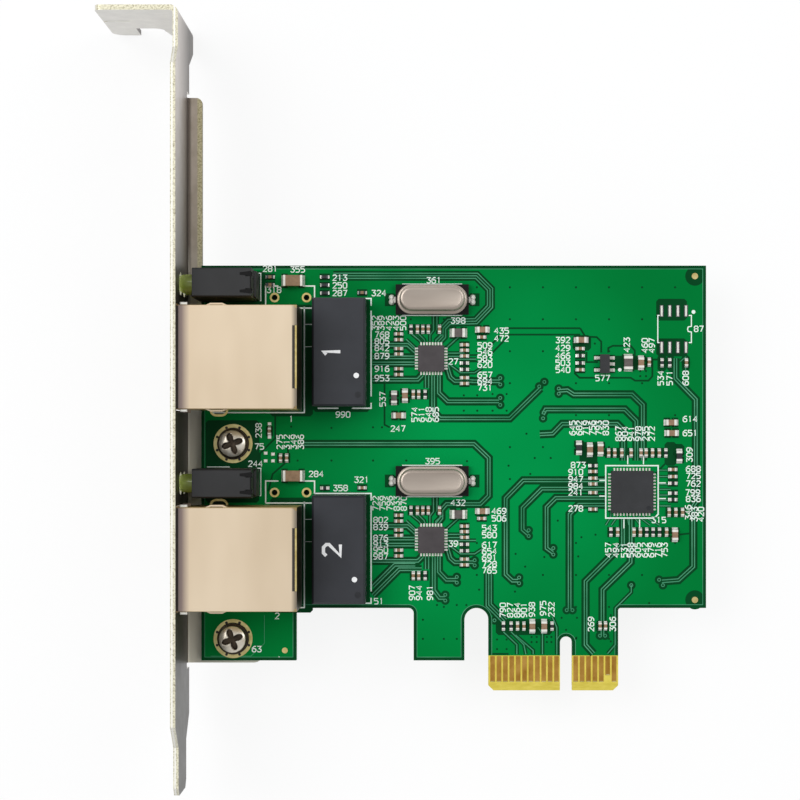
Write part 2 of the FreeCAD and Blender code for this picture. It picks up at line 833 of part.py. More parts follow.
def make_screws():
    """Two pan-head screws with cross recesses, seated on their octagonal pads."""
    pattern = new_body("screw_pattern")
    profile = sketch(pattern, "XZ_Plane")
    polygon(profile, [
        ("0", "-screw_length"),
        ("screw_shank / 2", "-screw_length"),
        ("screw_shank / 2", "0"),
        ("screw_head / 2", "0"),
        ("screw_head / 2", "screw_head_height - screw_head_round"),
        ("screw_head / 2 - screw_head_round", "screw_head_height"),
        ("0", "screw_head_height"),
    ])
    turned = pattern.newObject("PartDesign::Revolution", "screw_turned")
    turned.Profile = profile
    turned.ReferenceAxis = (profile, ["V_Axis"])
    turned.Angle = 360
    doc.recompute()
    recess = sketch(pattern, "XY_Plane", "screw_head_height")
    wide = "recess_width / 2"
    far = "recess_span / 2"
    polygon(recess, [
        (far, "-" + wide), (far, wide), (wide, wide), (wide, far),
        ("-" + wide, far), ("-" + wide, wide), ("-" + far, wide), ("-" + far, "-" + wide),
        ("-" + wide, "-" + wide), ("-" + wide, "-" + far), (wide, "-" + far),
        (wide, "-" + wide),
    ])
    pocket(pattern, recess, "recess_depth")
    screws = []
    pads = []
    ring = doc.addObject("Part::Prism", "screw_pad_octagon")
    ring.Polygon = 8
    bind(ring, "Circumradius", "screw_pad / 2")
    bind(ring, "Height", "copper_thickness")
    hole = rod("screw_pad_hole", "0", "0", "-1", "screw_hole / 2", "copper_thickness + 2")
    octagon = group("screw_pad_pattern", [less("screw_pad_ring", ring, hole)])
    screw = group("screw_pattern_group", [pattern])
    for port, turn in zip(PORTS, (20, 0)):
        spot = (SCREW_X, screw_level(port))
        screws.append(copy_of(screw, "screw_" + port, *spot, TOP + " + copper_thickness", turn))
        pads.append(copy_of(octagon, "screw_pad_" + port, *spot, TOP))
    subpart(group("bracket_screws", screws), "bracket_screws")
    subpart(group("screw_pads", pads), "screw_pads")


# ---------------------------------------------------------------- modular jacks

def socket_profile(margin):
    """The socket seen from the front, with its latch channel below, as a stepped outline."""
    half = "(socket_width / 2 + %s)" % margin
    latch = "(latch_width / 2 + %s)" % margin
    catch = "(catch_width / 2 + %s)" % margin
    floor = "socket_floor - %s" % margin
    return [
        ("-" + half, floor),
        ("-" + latch, floor),
        ("-" + latch, "latch_floor - %s" % margin),
        ("-" + catch, "latch_floor - %s" % margin),
        ("-" + catch, "catch_floor - %s" % margin),
        (catch, "catch_floor - %s" % margin),
        (catch, "latch_floor - %s" % margin),
        (latch, "latch_floor - %s" % margin),
        (latch, floor),
        (half, floor),
        (half, "%s + %s" % (CEILING, margin)),
        ("-" + half, "%s + %s" % (CEILING, margin)),
    ]


def make_jack_shield(port):
    """A folded sheet can, open below, with a mouth, leaf springs, ground tabs and legs."""
    shield = new_body("jack_%s_shield" % port)
    outside = sketch(shield, "XY_Plane")
    rectangle(outside, "0", "-jack_width / 2", "jack_length", "jack_width / 2")
    pad(shield, outside, "jack_height")
    length, half, high = size("jack_length"), size("jack_width") / 2, size("jack_height")
    long_edges = [(length / 2, side * half, high) for side in (-1, 1)]
    fillet(shield, ALONG_X, long_edges, "shield_corner", "Chamfer")

    inside = sketch(shield, "XY_Plane")
    wall = "(jack_width / 2 - shield_thickness)"
    rectangle(inside, "shield_thickness", "-" + wall, "jack_length - shield_thickness", wall)
    pocket(shield, inside, "jack_height - shield_thickness", reverse=True)

    mouth = sketch(shield, "YZ_Plane")
    polygon(mouth, socket_profile("mouth_margin"))
    pocket(shield, mouth, "shield_thickness * 2", reverse=True)

    rear = sketch(shield, "XY_Plane", "jack_height")
    back = "jack_length - shield_thickness"
    rectangle(rear, back + " - rear_slot_length", "-rear_slot_width / 2", back,
              "rear_slot_width / 2")
    pocket(shield, rear, "shield_thickness * 2")

    for side in (-1, 1):
        add_shield_side(shield, side)
    place(shield, JACK_FRONT, port_y(port), TOP)
    return subpart(shield, "jack_%s_shield" % port)


def add_shield_side(shield, side):
    """One side's leaf spring in its window, its ground tab and its board leg."""
    face = "(%d) * jack_width / 2" % side
    inner = "(%d) * (jack_width / 2 - shield_thickness)" % side
    bulge = "(%d) * (jack_width / 2 + leaf_bulge)" % side
    under = "(%d) * (jack_width / 2 + leaf_bulge - shield_thickness)" % side
    end = "leaf_start + leaf_length"
    window = sketch(shield, "XZ_Plane", "(%d) * (jack_width / 2 + 1)" % -side)
    rectangle(window, "leaf_start + 0.1", LEAF_LOW + " - 0.2", end + " - 0.1",
              LEAF_LOW + " + leaf_height + 0.2")
    pocket(shield, window, "2", reverse=side > 0)
    leaf = sketch(shield, "XY_Plane", LEAF_LOW)
    ramp = "leaf_length / 4"
    polygon(leaf, [
        ("leaf_start - 0.3", face),
        ("leaf_start - 0.3", inner),
        ("leaf_start + 0.2", inner),
        ("leaf_start + " + ramp, under),
        (end + " - " + ramp, under),
        (end + " - 0.2", inner),
        (end + " + 0.3", inner),
        (end + " + 0.3", face),
        (end + " - 0.1", face),
        (end + " - " + ramp, bulge),
        ("leaf_start + " + ramp, bulge),
        ("leaf_start + 0.1", face),
    ])
    pad(shield, leaf, "leaf_height")
    tab = sketch(shield, "XY_Plane", "ground_tab_level")
    reach = "(%d) * (jack_width / 2 + ground_tab_reach)" % side
    rectangle(tab, "ground_tab_start", inner, "ground_tab_start + ground_tab_length", reach)
    pad(shield, tab, "shield_thickness")
    leg = sketch(shield, "XY_Plane")
    rectangle(leg, "leg_start", inner, "leg_start + leg_width", face)
    pad(shield, leg, "leg_below", reverse=True)


def make_jack_housing(port):
    """The moulded socket: cavity, latch channel, room for the insert, two board pegs."""
    housing = new_body("jack_%s_housing" % port)
    side = "(jack_width / 2 - shield_thickness - jack_fit)"
    outside = sketch(housing, "XY_Plane")
    rectangle(outside, "shield_thickness + jack_fit", "-" + side,
              "jack_length - shield_thickness - jack_fit", side)
    pad(housing, outside, "jack_height - shield_thickness - shield_corner")

    cavity = sketch(housing, "YZ_Plane")
    polygon(cavity, socket_profile("0"))
    pocket(housing, cavity, "socket_depth", reverse=True)

    half = "(insert_width / 2 + jack_fit)"
    comb_room = sketch(housing, "XY_Plane", "jack_height")
    rectangle(comb_room, "comb_start - wire_thickness - wire_gap * 4", "-" + half,
              "jack_length", half)
    pocket(housing, comb_room, "socket_roof + 0.1")
    insert_room = sketch(housing, "XY_Plane", "jack_height")
    rectangle(insert_room, "insert_front - jack_fit", "-" + half, "jack_length", half)
    pocket(housing, insert_room, "jack_height - insert_bottom + jack_fit")
    tail_room = sketch(housing, "XY_Plane", "insert_bottom")
    rectangle(tail_room, "insert_back - tail_row - wire_thickness - jack_fit", "-" + half,
              "jack_length", half)
    pocket(housing, tail_room, "insert_bottom")

    pegs = sketch(housing, "XY_Plane")
    for way in (-1, 1):
        circle(pegs, "peg_x", "(%d) * peg_spread" % way, "peg_radius")
    pad(housing, pegs, "peg_below", reverse=True)
    place(housing, JACK_FRONT, port_y(port), TOP)
    return subpart(housing, "jack_%s_housing" % port)


def make_jack_insert(port):
    """The contact carrier: an upright block with a comb over the socket's ceiling."""
    insert = new_body("jack_%s_insert" % port)
    half = "insert_width / 2"
    profile = sketch(insert, "XZ_Plane", "-" + half)
    comb_top = CEILING + " + comb_thickness"
    polygon(profile, [
        ("comb_start", CEILING),
        ("insert_front", CEILING),
        ("insert_front", "insert_bottom"),
        ("insert_back", "insert_bottom"),
        ("insert_back", comb_top),
        ("comb_start", comb_top),
    ])
    pad(insert, profile, "insert_width")
    ribs = sketch(insert, "XY_Plane", comb_top)
    count = int(size("wire_count"))
    for index in range(count + 1):
        y = "(%s) * wire_pitch" % (index - count / 2)
        rectangle(ribs, "comb_start", y + " - rib_width / 2", "comb_start + rib_length",
                  y + " + rib_width / 2")
    pad(insert, ribs, "rib_height")
    nose = (size("comb_start"), None, size("jack_height") - size("socket_roof"))
    fillet(insert, ALONG_Y, [nose], "comb_thickness / 3", "Chamfer")
    place(insert, JACK_FRONT, port_y(port), TOP)
    return subpart(insert, "jack_%s_insert" % port)


def jack_wire(offset, row):
    """One contact: board tail, up behind the insert, over the comb and back into the socket."""
    half = size("wire_thickness") / 2
    gap = size("wire_gap")
    back = size("insert_back") + gap + half
    ceiling = size("jack_height") - size("socket_roof")
    over = ceiling + size("comb_thickness") + half
    nose = size("comb_start") - gap - half
    tail = offset * size("tail_pitch")
    contact = offset * size("wire_pitch")
    points = []
    if row:
        points.append((back - size("tail_row"), tail, -size("tail_below")))
        points.append((back - size("tail_row"), tail, size("tail_bend")))
        points.append((back, tail, size("tail_bend")))
    else:
        points.append((back, tail, -size("tail_below")))
    rib_end = size("comb_start") + size("rib_length")
    points += [
        (back, tail, over),
        (size("insert_back") - gap, tail, over),
        (rib_end + gap, contact, over),
        (nose, contact, over),
        (nose, contact, ceiling - gap),
        (size("wire_tip_x"), contact, ceiling - size("wire_tip_drop") + half),
    ]
    return bent_strip(points, size("wire_thickness"), size("wire_width"))


def make_jack_contacts(port):
    wires = [jack_wire(offset, row) for offset, row in wire_places()]
    contacts = shaped("jack_%s_contacts" % port, Part.makeCompound(wires))
    place(contacts, JACK_FRONT, port_y(port), TOP)
    return subpart(contacts, "jack_%s_contacts" % port)


# ---------------------------------------------------------------- LED holders

def make_led_housing(port):
    """A black holder with two bores, rear slots for the upper leads and a hollow foot."""
    holder = new_body("led_%s_housing" % port)
    outside = sketch(holder, "XY_Plane")
    rectangle(outside, "0", "-led_width / 2", "led_length", "led_width / 2")
    pad(holder, outside, "led_height")
    bores = sketch(holder, "YZ_Plane")
    for level in ("led_low_level", "led_high_level"):
        circle(bores, "0", level, "led_radius + led_bore_gap")
    pocket(holder, bores, "led_body_length + led_lead / 2", reverse=True)
    slots = sketch(holder, "XY_Plane", "led_height")
    for side in (-1, 1):
        middle = "(%d) * led_lead_pitch / 2" % side
        rectangle(slots, "led_length - led_slot_depth", middle + " - led_slot_width / 2",
                  "led_length", middle + " + led_slot_width / 2")
    pocket(holder, slots, "led_height")
    foot = sketch(holder, "XY_Plane")
    reach = "(led_lead_pitch + led_slot_width) / 2"
    rectangle(foot, "led_body_length", "-" + reach, "led_body_length + led_lead * 2", reach)
    pocket(holder, foot, "led_low_level + led_lead", reverse=True)
    tunnels = sketch(holder, "YZ_Plane", "led_length")
    for side in (-1, 1):
        middle = "(%d) * led_lead_pitch / 2" % side
        rectangle(tunnels, middle + " - led_slot_width / 2", "led_high_level - led_slot_width / 2",
                  middle + " + led_slot_width / 2", "led_high_level + led_slot_width / 2")
    pocket(holder, tunnels, "led_length - led_body_length")
    edge = size("led_width") / 2
    rims = [(None, side * edge, size("led_height")) for side in (-1, 1)]
    fillet(holder, ALONG_X, rims, "led_slot_width / 3", "Chamfer")
    place(holder, LED_FRONT, port_y(port) + " + led_rise", TOP)
    return subpart(holder, "led_%s_housing" % port)


def make_led(port, label, level):
    """A round-nosed LED that reaches forward through the bracket."""
    nose = "led_radius * 0.6"
    steps = (
        ("nose", "led_radius * 0.55", "led_radius", nose, "-" + LED_NOSE),
        ("barrel", "led_radius", "led_radius", "led_body_length + %s - %s" % (LED_NOSE, nose),
         "%s - %s" % (nose, LED_NOSE)),
    )
    pieces = []
    for name, front, back, length, start in steps:
        straight = front == back
        kind = "Part::Cylinder" if straight else "Part::Cone"
        piece = doc.addObject(kind, "%s_%s" % (label, name))
        piece.Placement = FreeCAD.Placement(FreeCAD.Vector(), FreeCAD.Rotation(ALONG_Y, 90))
        bind(piece, "Radius" if straight else "Radius1", front)
        if not straight:
            bind(piece, "Radius2", back)
        bind(piece, "Height", length)
        bind(piece, "Placement.Base.x", start)
        pieces.append(piece)
    body = fused(label + "_body", pieces)
    place(body, LED_FRONT, port_y(port) + " + led_rise", TOP + " + " + level)
    return subpart(body, label)


def make_led_leads(port):
    """Four leads, each bent straight down from the back of its LED into the board."""
    lead = size("led_lead")
    start = size("led_body_length")
    lower = start + lead
    upper = size("led_length") - size("led_slot_depth") / 2
    leads = []
    for level, across in (("led_low_level", lower), ("led_high_level", upper)):
        for side in (-1, 1):
            y = side * size("led_lead_pitch") / 2
            points = [(start, y, size(level)), (across, y, size(level)),
                      (across, y, -size("tail_below"))]
            leads.append(bent_strip(points, lead, lead))
    feature = shaped("led_%s_leads" % port, Part.makeCompound(leads))
    place(feature, LED_FRONT, port_y(port) + " + led_rise", TOP)
    return subpart(feature, "led_%s_leads" % port)


# ---------------------------------------------------------------- magnetics and crystals

def make_magnetics_case(port):
    case = new_body("transformer_%s_case" % port)
    outside = sketch(case, "XY_Plane", "magnetics_gap")
    half_x = "magnetics_width / 2"
    half_y = "magnetics_length / 2"
    rectangle(outside, "-" + half_x, "-" + half_y, half_x, half_y)
    pad(case, outside, "magnetics_height - magnetics_gap")
    high = size("magnetics_height")
    wide = size("magnetics_width") / 2
    long = size("magnetics_length") / 2
    rims = [(side * wide, None, high) for side in (-1, 1)]
    fillet(case, ALONG_Y, rims, "magnetics_edge", "Chamfer")
    rims = [(None, side * long, high) for side in (-1, 1)]
    fillet(case, ALONG_X, rims, "magnetics_edge", "Chamfer")
    place(case, MAGNETICS_X, port_y(port) + " + magnetics_rise", TOP)
    return subpart(case, "transformer_%s_case" % port)


def gull_wing(name, reach, level, width):
    """A lead that leaves a case level, turns down and ends in a flat foot, along +X."""
    sheet = size("lead_sheet")
    points = [(0, 0, level), (reach * 0.4, 0, level), (reach * 0.5, 0, sheet / 2),
              (reach, 0, sheet / 2)]
    return group(name, [shaped(name + "_strip", bent_strip(points, sheet, width))])


def make_magnetics_leads(port, pattern):
    leads = []
    count = int(size("magnetics_lead_count"))
    for index in range(count):
        offset = "(%s) * magnetics_lead_pitch" % (index - (count - 1) / 2)
        y = "%s + magnetics_rise + %s" % (port_y(port), offset)
        for side, turn in ((1, 0), (-1, 180)):
            x = "%s + (%d) * magnetics_width / 2" % (MAGNETICS_X, side)
            name = "transformer_%s_lead_%d_%d" % (port, index, turn)
            leads.append(copy_of(pattern, name, x, y, TOP, turn))
    label = "transformer_%s_leads" % port
    return subpart(group(label, leads), label)


def stadium(name, x, y, z, length, width, height):
    """An upright plate or can with fully rounded ends."""
    reach = "((%s) - (%s)) / 2" % (length, width)
    parts = [centred_block(name + "_middle", x, y, z, "(%s) - (%s)" % (length, width), width,
                           height)]
    for side in (-1, 1):
        spot = "(%s) + (%d) * %s" % (x, side, reach)
        parts.append(rod("%s_end_%d" % (name, len(parts)), spot, y, z, "(%s) / 2" % width,
                         height))
    return fused(name, parts)


def make_crystal(port):
    """A metal can with a rim, on a plastic base with a flat lead at each end."""
    x = LAN_CHIP_X + " + crystal_shift"
    y = "%s + crystal_rise" % (lan_chip_y(port))
    base_top = TOP + " + lead_sheet + crystal_base_height"
    label = "crystal_%s" % port
    base = centred_block(label + "_base", x, y, TOP + " + lead_sheet", "crystal_base_length",
                         "crystal_base_width", "crystal_base_height")
    subpart(base, label + "_base")
    rim = stadium(label + "_rim", x, y, base_top, "crystal_rim_length", "crystal_rim_width",
                  "crystal_rim_height")
    shell_height = "crystal_height - lead_sheet - crystal_base_height"
    shell = stadium(label + "_shell", x, y, base_top, "crystal_can_length",
                    "crystal_can_width", shell_height)
    doc.recompute()
    rounded = doc.addObject("Part::Chamfer", label + "_rounded")
    rounded.Base = shell
    top = shell.Shape.BoundBox.ZMax
    radius = size("crystal_round")
    rounded.Edges = [
        (number, radius, radius)
        for number, edge in enumerate(shell.Shape.Edges, start=1)
        if edge.BoundBox.ZMin > top - SMALL
    ]
    subpart(fused(label + "_can", [rim, rounded]), label + "_can")
    leads = []
    for side in (-1, 1):
        length = "(crystal_lead_span / 2 - crystal_base_length / 4)"
        middle = "%s + (%d) * (crystal_lead_span / 2 - %s / 2)" % (x, side, length)
        leads.append(centred_block("%s_lead_%d" % (label, side + 1), middle, y, TOP, length,
                                   "crystal_lead_width", "lead_sheet"))
    subpart(group(label + "_leads", leads), label + "_leads")


# ---------------------------------------------------------------- flat chips

def make_flat_chip(label, x, y, side):
    """A square leadless chip whose upper edges are lightly bevelled."""
    chip = new_body(label)
    outline = sketch(chip, "XY_Plane", "copper_thickness")
    half = "(%s) / 2" % side
    rectangle(outline, "-" + half, "-" + half, half, half)
    pad(chip, outline, "flat_chip_height - copper_thickness")
    top = size("flat_chip_height")
    rims = [(None, None, top)]
    fillet(chip, ALONG_X, rims, "flat_chip_edge", "Chamfer")
    fillet(chip, ALONG_Y, rims, "flat_chip_edge", "Chamfer")
    place(chip, x, y, TOP)
    return subpart(chip, label)


def make_regulator():
    x, y = "regulator_x", "regulator_y"
    case = centred_block("regulator", x, y, TOP + " + regulator_gap", "regulator_width",
                         "regulator_length", "regulator_height - regulator_gap")
    subpart(case, "regulator")
    pattern = gull_wing("regulator_lead_pattern", size("regulator_lead_reach"),
                        size("regulator_height") / 2, size("regulator_lead_width"))
    leads = []
    for side, steps in ((1, (-1, 0, 1)), (-1, (-1, 1))):
        for step in steps:
            spot_x = "%s + (%d) * regulator_width / 2" % (x, side)
            spot_y = "%s + (%d) * regulator_lead_pitch" % (y, step)
            name = "regulator_lead_%d" % len(leads)
            leads.append(copy_of(pattern, name, spot_x, spot_y, TOP, 0 if side > 0 else 180))
    subpart(group("regulator_leads", leads), "regulator_leads")


# ---------------------------------------------------------------- chip parts

# Offsets of the chip parts from the centre of the LAN chip beside them, right and up the
# board, and whether they stand along the board.  Both ports repeat them.
LAN_SMALL_CAPACITORS = [
    (-2.15, 4.6, True), (-1.3, 4.6, True), (-0.45, 4.6, True), (1.3, 4.6, True),
    (-5.1, 3.85, False), (-5.1, 2.95, False), (-5.1, 1.55, False), (-5.1, 0.7, False),
    (-5.1, -1.6, False), (-5.1, -2.5, False),
    (5.2, 2.15, False), (5.2, 1.3, False), (5.2, 0.4, False), (5.2, -3.0, False),
    (5.2, -3.9, False), (7.9, 3.35, False), (-2.8, -5.6, True), (-1.95, -5.6, True),
]
LAN_SMALL_RESISTORS = [
    (-3.15, 4.6, True), (5.2, -0.7, False), (5.2, -1.7, False), (-0.95, -5.6, True),
]
LAN_MEDIUM_CAPACITORS = [(8.0, 4.5, False)]
LAN_INDUCTORS = [(4.25, 4.0, False)]
# The first port has two more capacitors and a ferrite bead.
FIRST_MEDIUM_CAPACITORS = [(-5.1, -8.9, False), (-4.1, -5.8, True)]
FIRST_FERRITE = (-5.8, -6.15, True)
# Beside the bridge chip.
BRIDGE_SMALL_CAPACITORS = [
    (-3.65, 6.1, True), (-2.7, 6.1, True), (-1.6, 6.1, True), (-0.15, 6.1, True),
    (1.4, 6.1, True), (2.2, 6.1, True), (3.2, 6.1, True), (4.25, 6.1, True),
    (-6.1, 3.2, False), (-6.1, 2.15, False), (-6.1, 1.25, False), (-6.1, -0.1, False),
    (-6.1, -2.7, False), (6.4, 3.5, False), (6.4, 2.4, False),
    (5.8, -3.2, True), (6.85, -3.2, True), (7.9, -3.2, True),
    (-2.25, -6.3, True), (0.3, -6.3, True), (1.3, -6.3, True), (5.4, -6.3, True),
]
BRIDGE_SMALL_RESISTORS = [
    (5.3, 6.1, True), (-6.1, 4.1, False), (6.4, 1.35, False), (6.4, -0.2, False),
    (6.4, -1.2, False), (-3.3, -6.3, True), (2.3, -6.3, True), (3.3, -6.3, True),
    (4.3, -6.3, True),
]
BRIDGE_MEDIUM_CAPACITORS = [
    (6.1, 10.85, False), (6.2, 9.2, False), (-6.6, 6.6, True), (-4.95, 6.7, True),
    (6.7, -6.7, True),
]
BRIDGE_MEDIUM_RESISTORS = [(-8.3, 6.9, True), (7.4, 5.6, True)]
# Beside the regulator.
REGULATOR_SMALL_CAPACITORS = [
    (-3.8, 2.4, False), (-3.8, -0.9, False), (7.0, 0.3, True), (12.8, 0.2, True),
]
REGULATOR_SMALL_RESISTORS = [
    (-3.8, 1.3, False), (-3.8, 0.15, False), (9.0, 0.2, True), (10.2, 0.2, True),
]
REGULATOR_MEDIUM_CAPACITORS = [(-3.65, 3.75, False), (5.7, 0.2, True)]
REGULATOR_INDUCTOR = (3.7, 0.2, True)
# Offsets from the bracket's inner face and from a port's centre line.
PORT_SMALL_CAPACITORS = [(27.5, 10.55, False)]
PORT_SMALL_RESISTORS = [(21.65, 10.5, False)]
PORT_CAPACITOR = (16.7, 12.4, False)
FIRST_PORT_CAPACITORS = [(13.1, 13.0, False), (13.1, 11.8, False)]
FIRST_PORT_RESISTORS = [(21.65, 13.0, False), (21.65, 11.75, False)]
SECOND_PORT_CAPACITORS = [(14.75, 15.2, True), (15.7, 15.2, True), (13.0, 19.4, True)]
# Above the card-edge contacts, measured from the board's origin.
TONGUE_SMALL_CAPACITORS = [(-7.6, 10.1, True), (-6.6, 10.1, True), (5.3, 10.15, True),
                           (6.15, 10.15, True)]
TONGUE_SMALL_RESISTORS = [(-9.8, 10.1, True), (-8.6, 10.1, True), (-2.2, 10.1, True)]
TONGUE_MEDIUM_CAPACITORS = [(-5.3, 10.1, True), (-3.45, 10.1, True)]


def moved(places, x, y):
    """Offsets turned into positions on the board."""
    return [("%s + (%s)" % (x, dx), "%s + (%s)" % (y, dy), along) for dx, dy, along in places]


def by_lan_chips(places):
    spots = []
    for port in PORTS:
        spots += moved(places, LAN_CHIP_X, lan_chip_y(port))
    return spots


def by_ports(places):
    spots = []
    for port in PORTS:
        spots += moved(places, "-bracket_inner", port_y(port))
    return spots


def by_bridge(places):
    return moved(places, "bridge_chip_x", "bridge_chip_y")


def by_regulator(places):
    return moved(places, "regulator_x", "regulator_y")


def chip_pattern(name, length, width, height, end):
    """A chip part's body between its two slightly larger metal ends, as two patterns."""
    inner = "%s - 2 * %s" % (length, end)
    middle = centred_block(name + "_middle", "0", "0", "end_proud", inner, width,
                           height + " - end_proud")
    ends = []
    for side in (-1, 1):
        x = "(%d) * (%s - %s) / 2" % (side, length, end)
        ends.append(centred_block("%s_end_%d" % (name, side + 1), x, "0", "0", end,
                                  width + " + 2 * end_proud", height + " + end_proud"))
    return group(name + "_body_pattern", [middle]), group(name + "_end_pattern", ends)


def make_blocks(label, width, length, height, spots):
    """Chip parts too small for separate ends: a plain block each."""
    pattern = group(label + "_pattern", [centred_block(label + "_block", "0", "0", "0", length,
                                                       width, height)])
    blocks = []
    for x, y, along in spots:
        name = "%s_%d" % (label, len(blocks))
        blocks.append(copy_of(pattern, name, x, y, TOP, 90 if along else 0))
    subpart(group(label, blocks), label)


def make_chips(label, end_label, patterns, spots):
    bodies = []
    ends = []
    for number, (x, y, along) in enumerate(spots):
        turn = 90 if along else 0
        bodies.append(copy_of(patterns[0], "%s_%d" % (label, number), x, y, TOP, turn))
        ends.append(copy_of(patterns[1], "%s_%d" % (end_label, number), x, y, TOP, turn))
    subpart(group(label, bodies), label)
    subpart(group(end_label, ends), end_label)


def make_chip_parts():
    medium_capacitor = chip_pattern("medium_capacitor", "medium_chip_length",
                                    "medium_chip_width", "medium_capacitor_height",
                                    "medium_chip_end")
    medium_resistor = chip_pattern("medium_resistor", "medium_chip_length",
                                   "medium_chip_width", "medium_resistor_height",
                                   "medium_chip_end")
    bead = chip_pattern("bead", "medium_chip_length", "medium_chip_width",
                        "medium_capacitor_height", "medium_chip_end")
    port_capacitor = chip_pattern("port_capacitor", "port_chip_length", "port_chip_width",
                                  "port_chip_height", "port_chip_end")
    inductor = chip_pattern("inductor", "inductor_length", "inductor_width",
                            "inductor_height", "inductor_end")

    first_port = ("-bracket_inner", port_y("1"))
    second_port = ("-bracket_inner", port_y("2"))
    first_chip = (LAN_CHIP_X, lan_chip_y("1"))
    make_blocks("small_capacitors", "small_chip_width", "small_chip_length",
                "small_capacitor_height",
                by_lan_chips(LAN_SMALL_CAPACITORS) + by_bridge(BRIDGE_SMALL_CAPACITORS)
                + by_regulator(REGULATOR_SMALL_CAPACITORS) + by_ports(PORT_SMALL_CAPACITORS)
                + moved(FIRST_PORT_CAPACITORS, *first_port)
                + moved(SECOND_PORT_CAPACITORS, *second_port)
                + moved(TONGUE_SMALL_CAPACITORS, "0", "0"))
    make_blocks("small_resistors", "small_chip_width", "small_chip_length",
                "small_resistor_height",
                by_lan_chips(LAN_SMALL_RESISTORS) + by_bridge(BRIDGE_SMALL_RESISTORS)
                + by_regulator(REGULATOR_SMALL_RESISTORS) + by_ports(PORT_SMALL_RESISTORS)
                + moved(FIRST_PORT_RESISTORS, *first_port)
                + moved(TONGUE_SMALL_RESISTORS, "0", "0"))
    make_chips("medium_capacitors", "medium_capacitor_ends", medium_capacitor,
               by_lan_chips(LAN_MEDIUM_CAPACITORS) + by_bridge(BRIDGE_MEDIUM_CAPACITORS)
               + by_regulator(REGULATOR_MEDIUM_CAPACITORS)
               + moved(FIRST_MEDIUM_CAPACITORS, *first_chip)
               + moved(TONGUE_MEDIUM_CAPACITORS, "0", "0"))
    make_chips("medium_resistors", "medium_resistor_ends", medium_resistor,
               by_bridge(BRIDGE_MEDIUM_RESISTORS))
    make_chips("ferrite_bead", "ferrite_bead_ends", bead,
               moved([FIRST_FERRITE], *first_chip))
    make_chips("port_capacitors", "port_capacitor_ends", port_capacitor,
               by_ports([PORT_CAPACITOR]))
    make_chips("inductors", "inductor_ends", inductor,
               by_lan_chips(LAN_INDUCTORS) + by_regulator([REGULATOR_INDUCTOR]))


def make_bare_lands():
    """The empty eight-lead footprint and the round fiducials, as thin metal."""
    lands = []
    for column in range(4):
        for side in (-1, 1):
            x = "footprint_x + %d * footprint_pitch" % column
            y = "footprint_y + (%d) * footprint_span / 2" % side
            lands.append(centred_block("footprint_land_%d" % len(lands), x, y, TOP,
                                       "footprint_land_width", "footprint_land_length",
                                       "copper_thickness"))
    subpart(group("footprint_lands", lands), "footprint_lands")
    dots = [
        prism("fiducial_dot_%d" % number, "fiducial_x", level, TOP, 12, "fiducial_radius",
              "copper_thickness")
        for number, level in enumerate(("fiducial_upper", "fiducial_lower"))
    ]
    subpart(group("fiducials", dots), "fiducials")


# ---------------------------------------------------------------- build, check and write

def make_port(port, lead_pattern):
    make_jack_shield(port)
    make_jack_housing(port)
    make_jack_insert(port)
    make_jack_contacts(port)
    make_led_housing(port)
    make_led(port, "led_%s_lower" % port, "led_low_level")
    make_led(port, "led_%s_upper" % port, "led_high_level")
    make_led_leads(port)
    make_magnetics_case(port)
    make_magnetics_leads(port, lead_pattern)
    make_crystal(port)


def make_all():
    make_circuit_board()
    make_edge_contacts("edge_contacts_front", 1, 16)
    make_edge_contacts("edge_contacts_back", -1, 10)
    make_bracket()
    make_screws()
    lead = gull_wing("transformer_lead_pattern", size("magnetics_lead_reach"),
                     size("magnetics_lead_level"), size("magnetics_lead_width"))
    for port in PORTS:
        make_port(port, lead)
        make_flat_chip("lan_chip_%s" % port, LAN_CHIP_X, lan_chip_y(port), "lan_chip_side")
    make_flat_chip("bridge_chip", "bridge_chip_x", "bridge_chip_y", "bridge_chip_side")
    make_regulator()
    make_chip_parts()
    make_bare_lands()


def check_all():
    """Stop if anything in the document failed or any sub-part's shape is unsound."""
    for thing in doc.Objects:
        if "Invalid" in thing.State or "Error" in thing.State:
            raise RuntimeError("%s did not recompute" % thing.Name)
    for label, thing in subparts.items():
        shape = thing.Shape
        if shape.isNull() or not shape.isValid() or not shape.Solids or shape.Volume <= 0:
            raise RuntimeError("%s has no sound shape" % label)


def write_all():
    os.makedirs("parts", exist_ok=True)
    for label, thing in subparts.items():
        thing.Shape.exportStep("parts/%s.step" % label)
        print("%-24s %4d solids %9.2f mm3" % (label, len(thing.Shape.Solids),
                                            thing.Shape.Volume))


fill_sheet()
make_all()
doc.recompute()
check_all()
write_all()
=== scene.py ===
"""Looks of the network interface card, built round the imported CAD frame.

Lengths are in millimetres in the frame of the CAD model, except where a comment or a name
says metres. Colours are from 0 to 255, except where a comment says otherwise.
"""

import itertools
import math

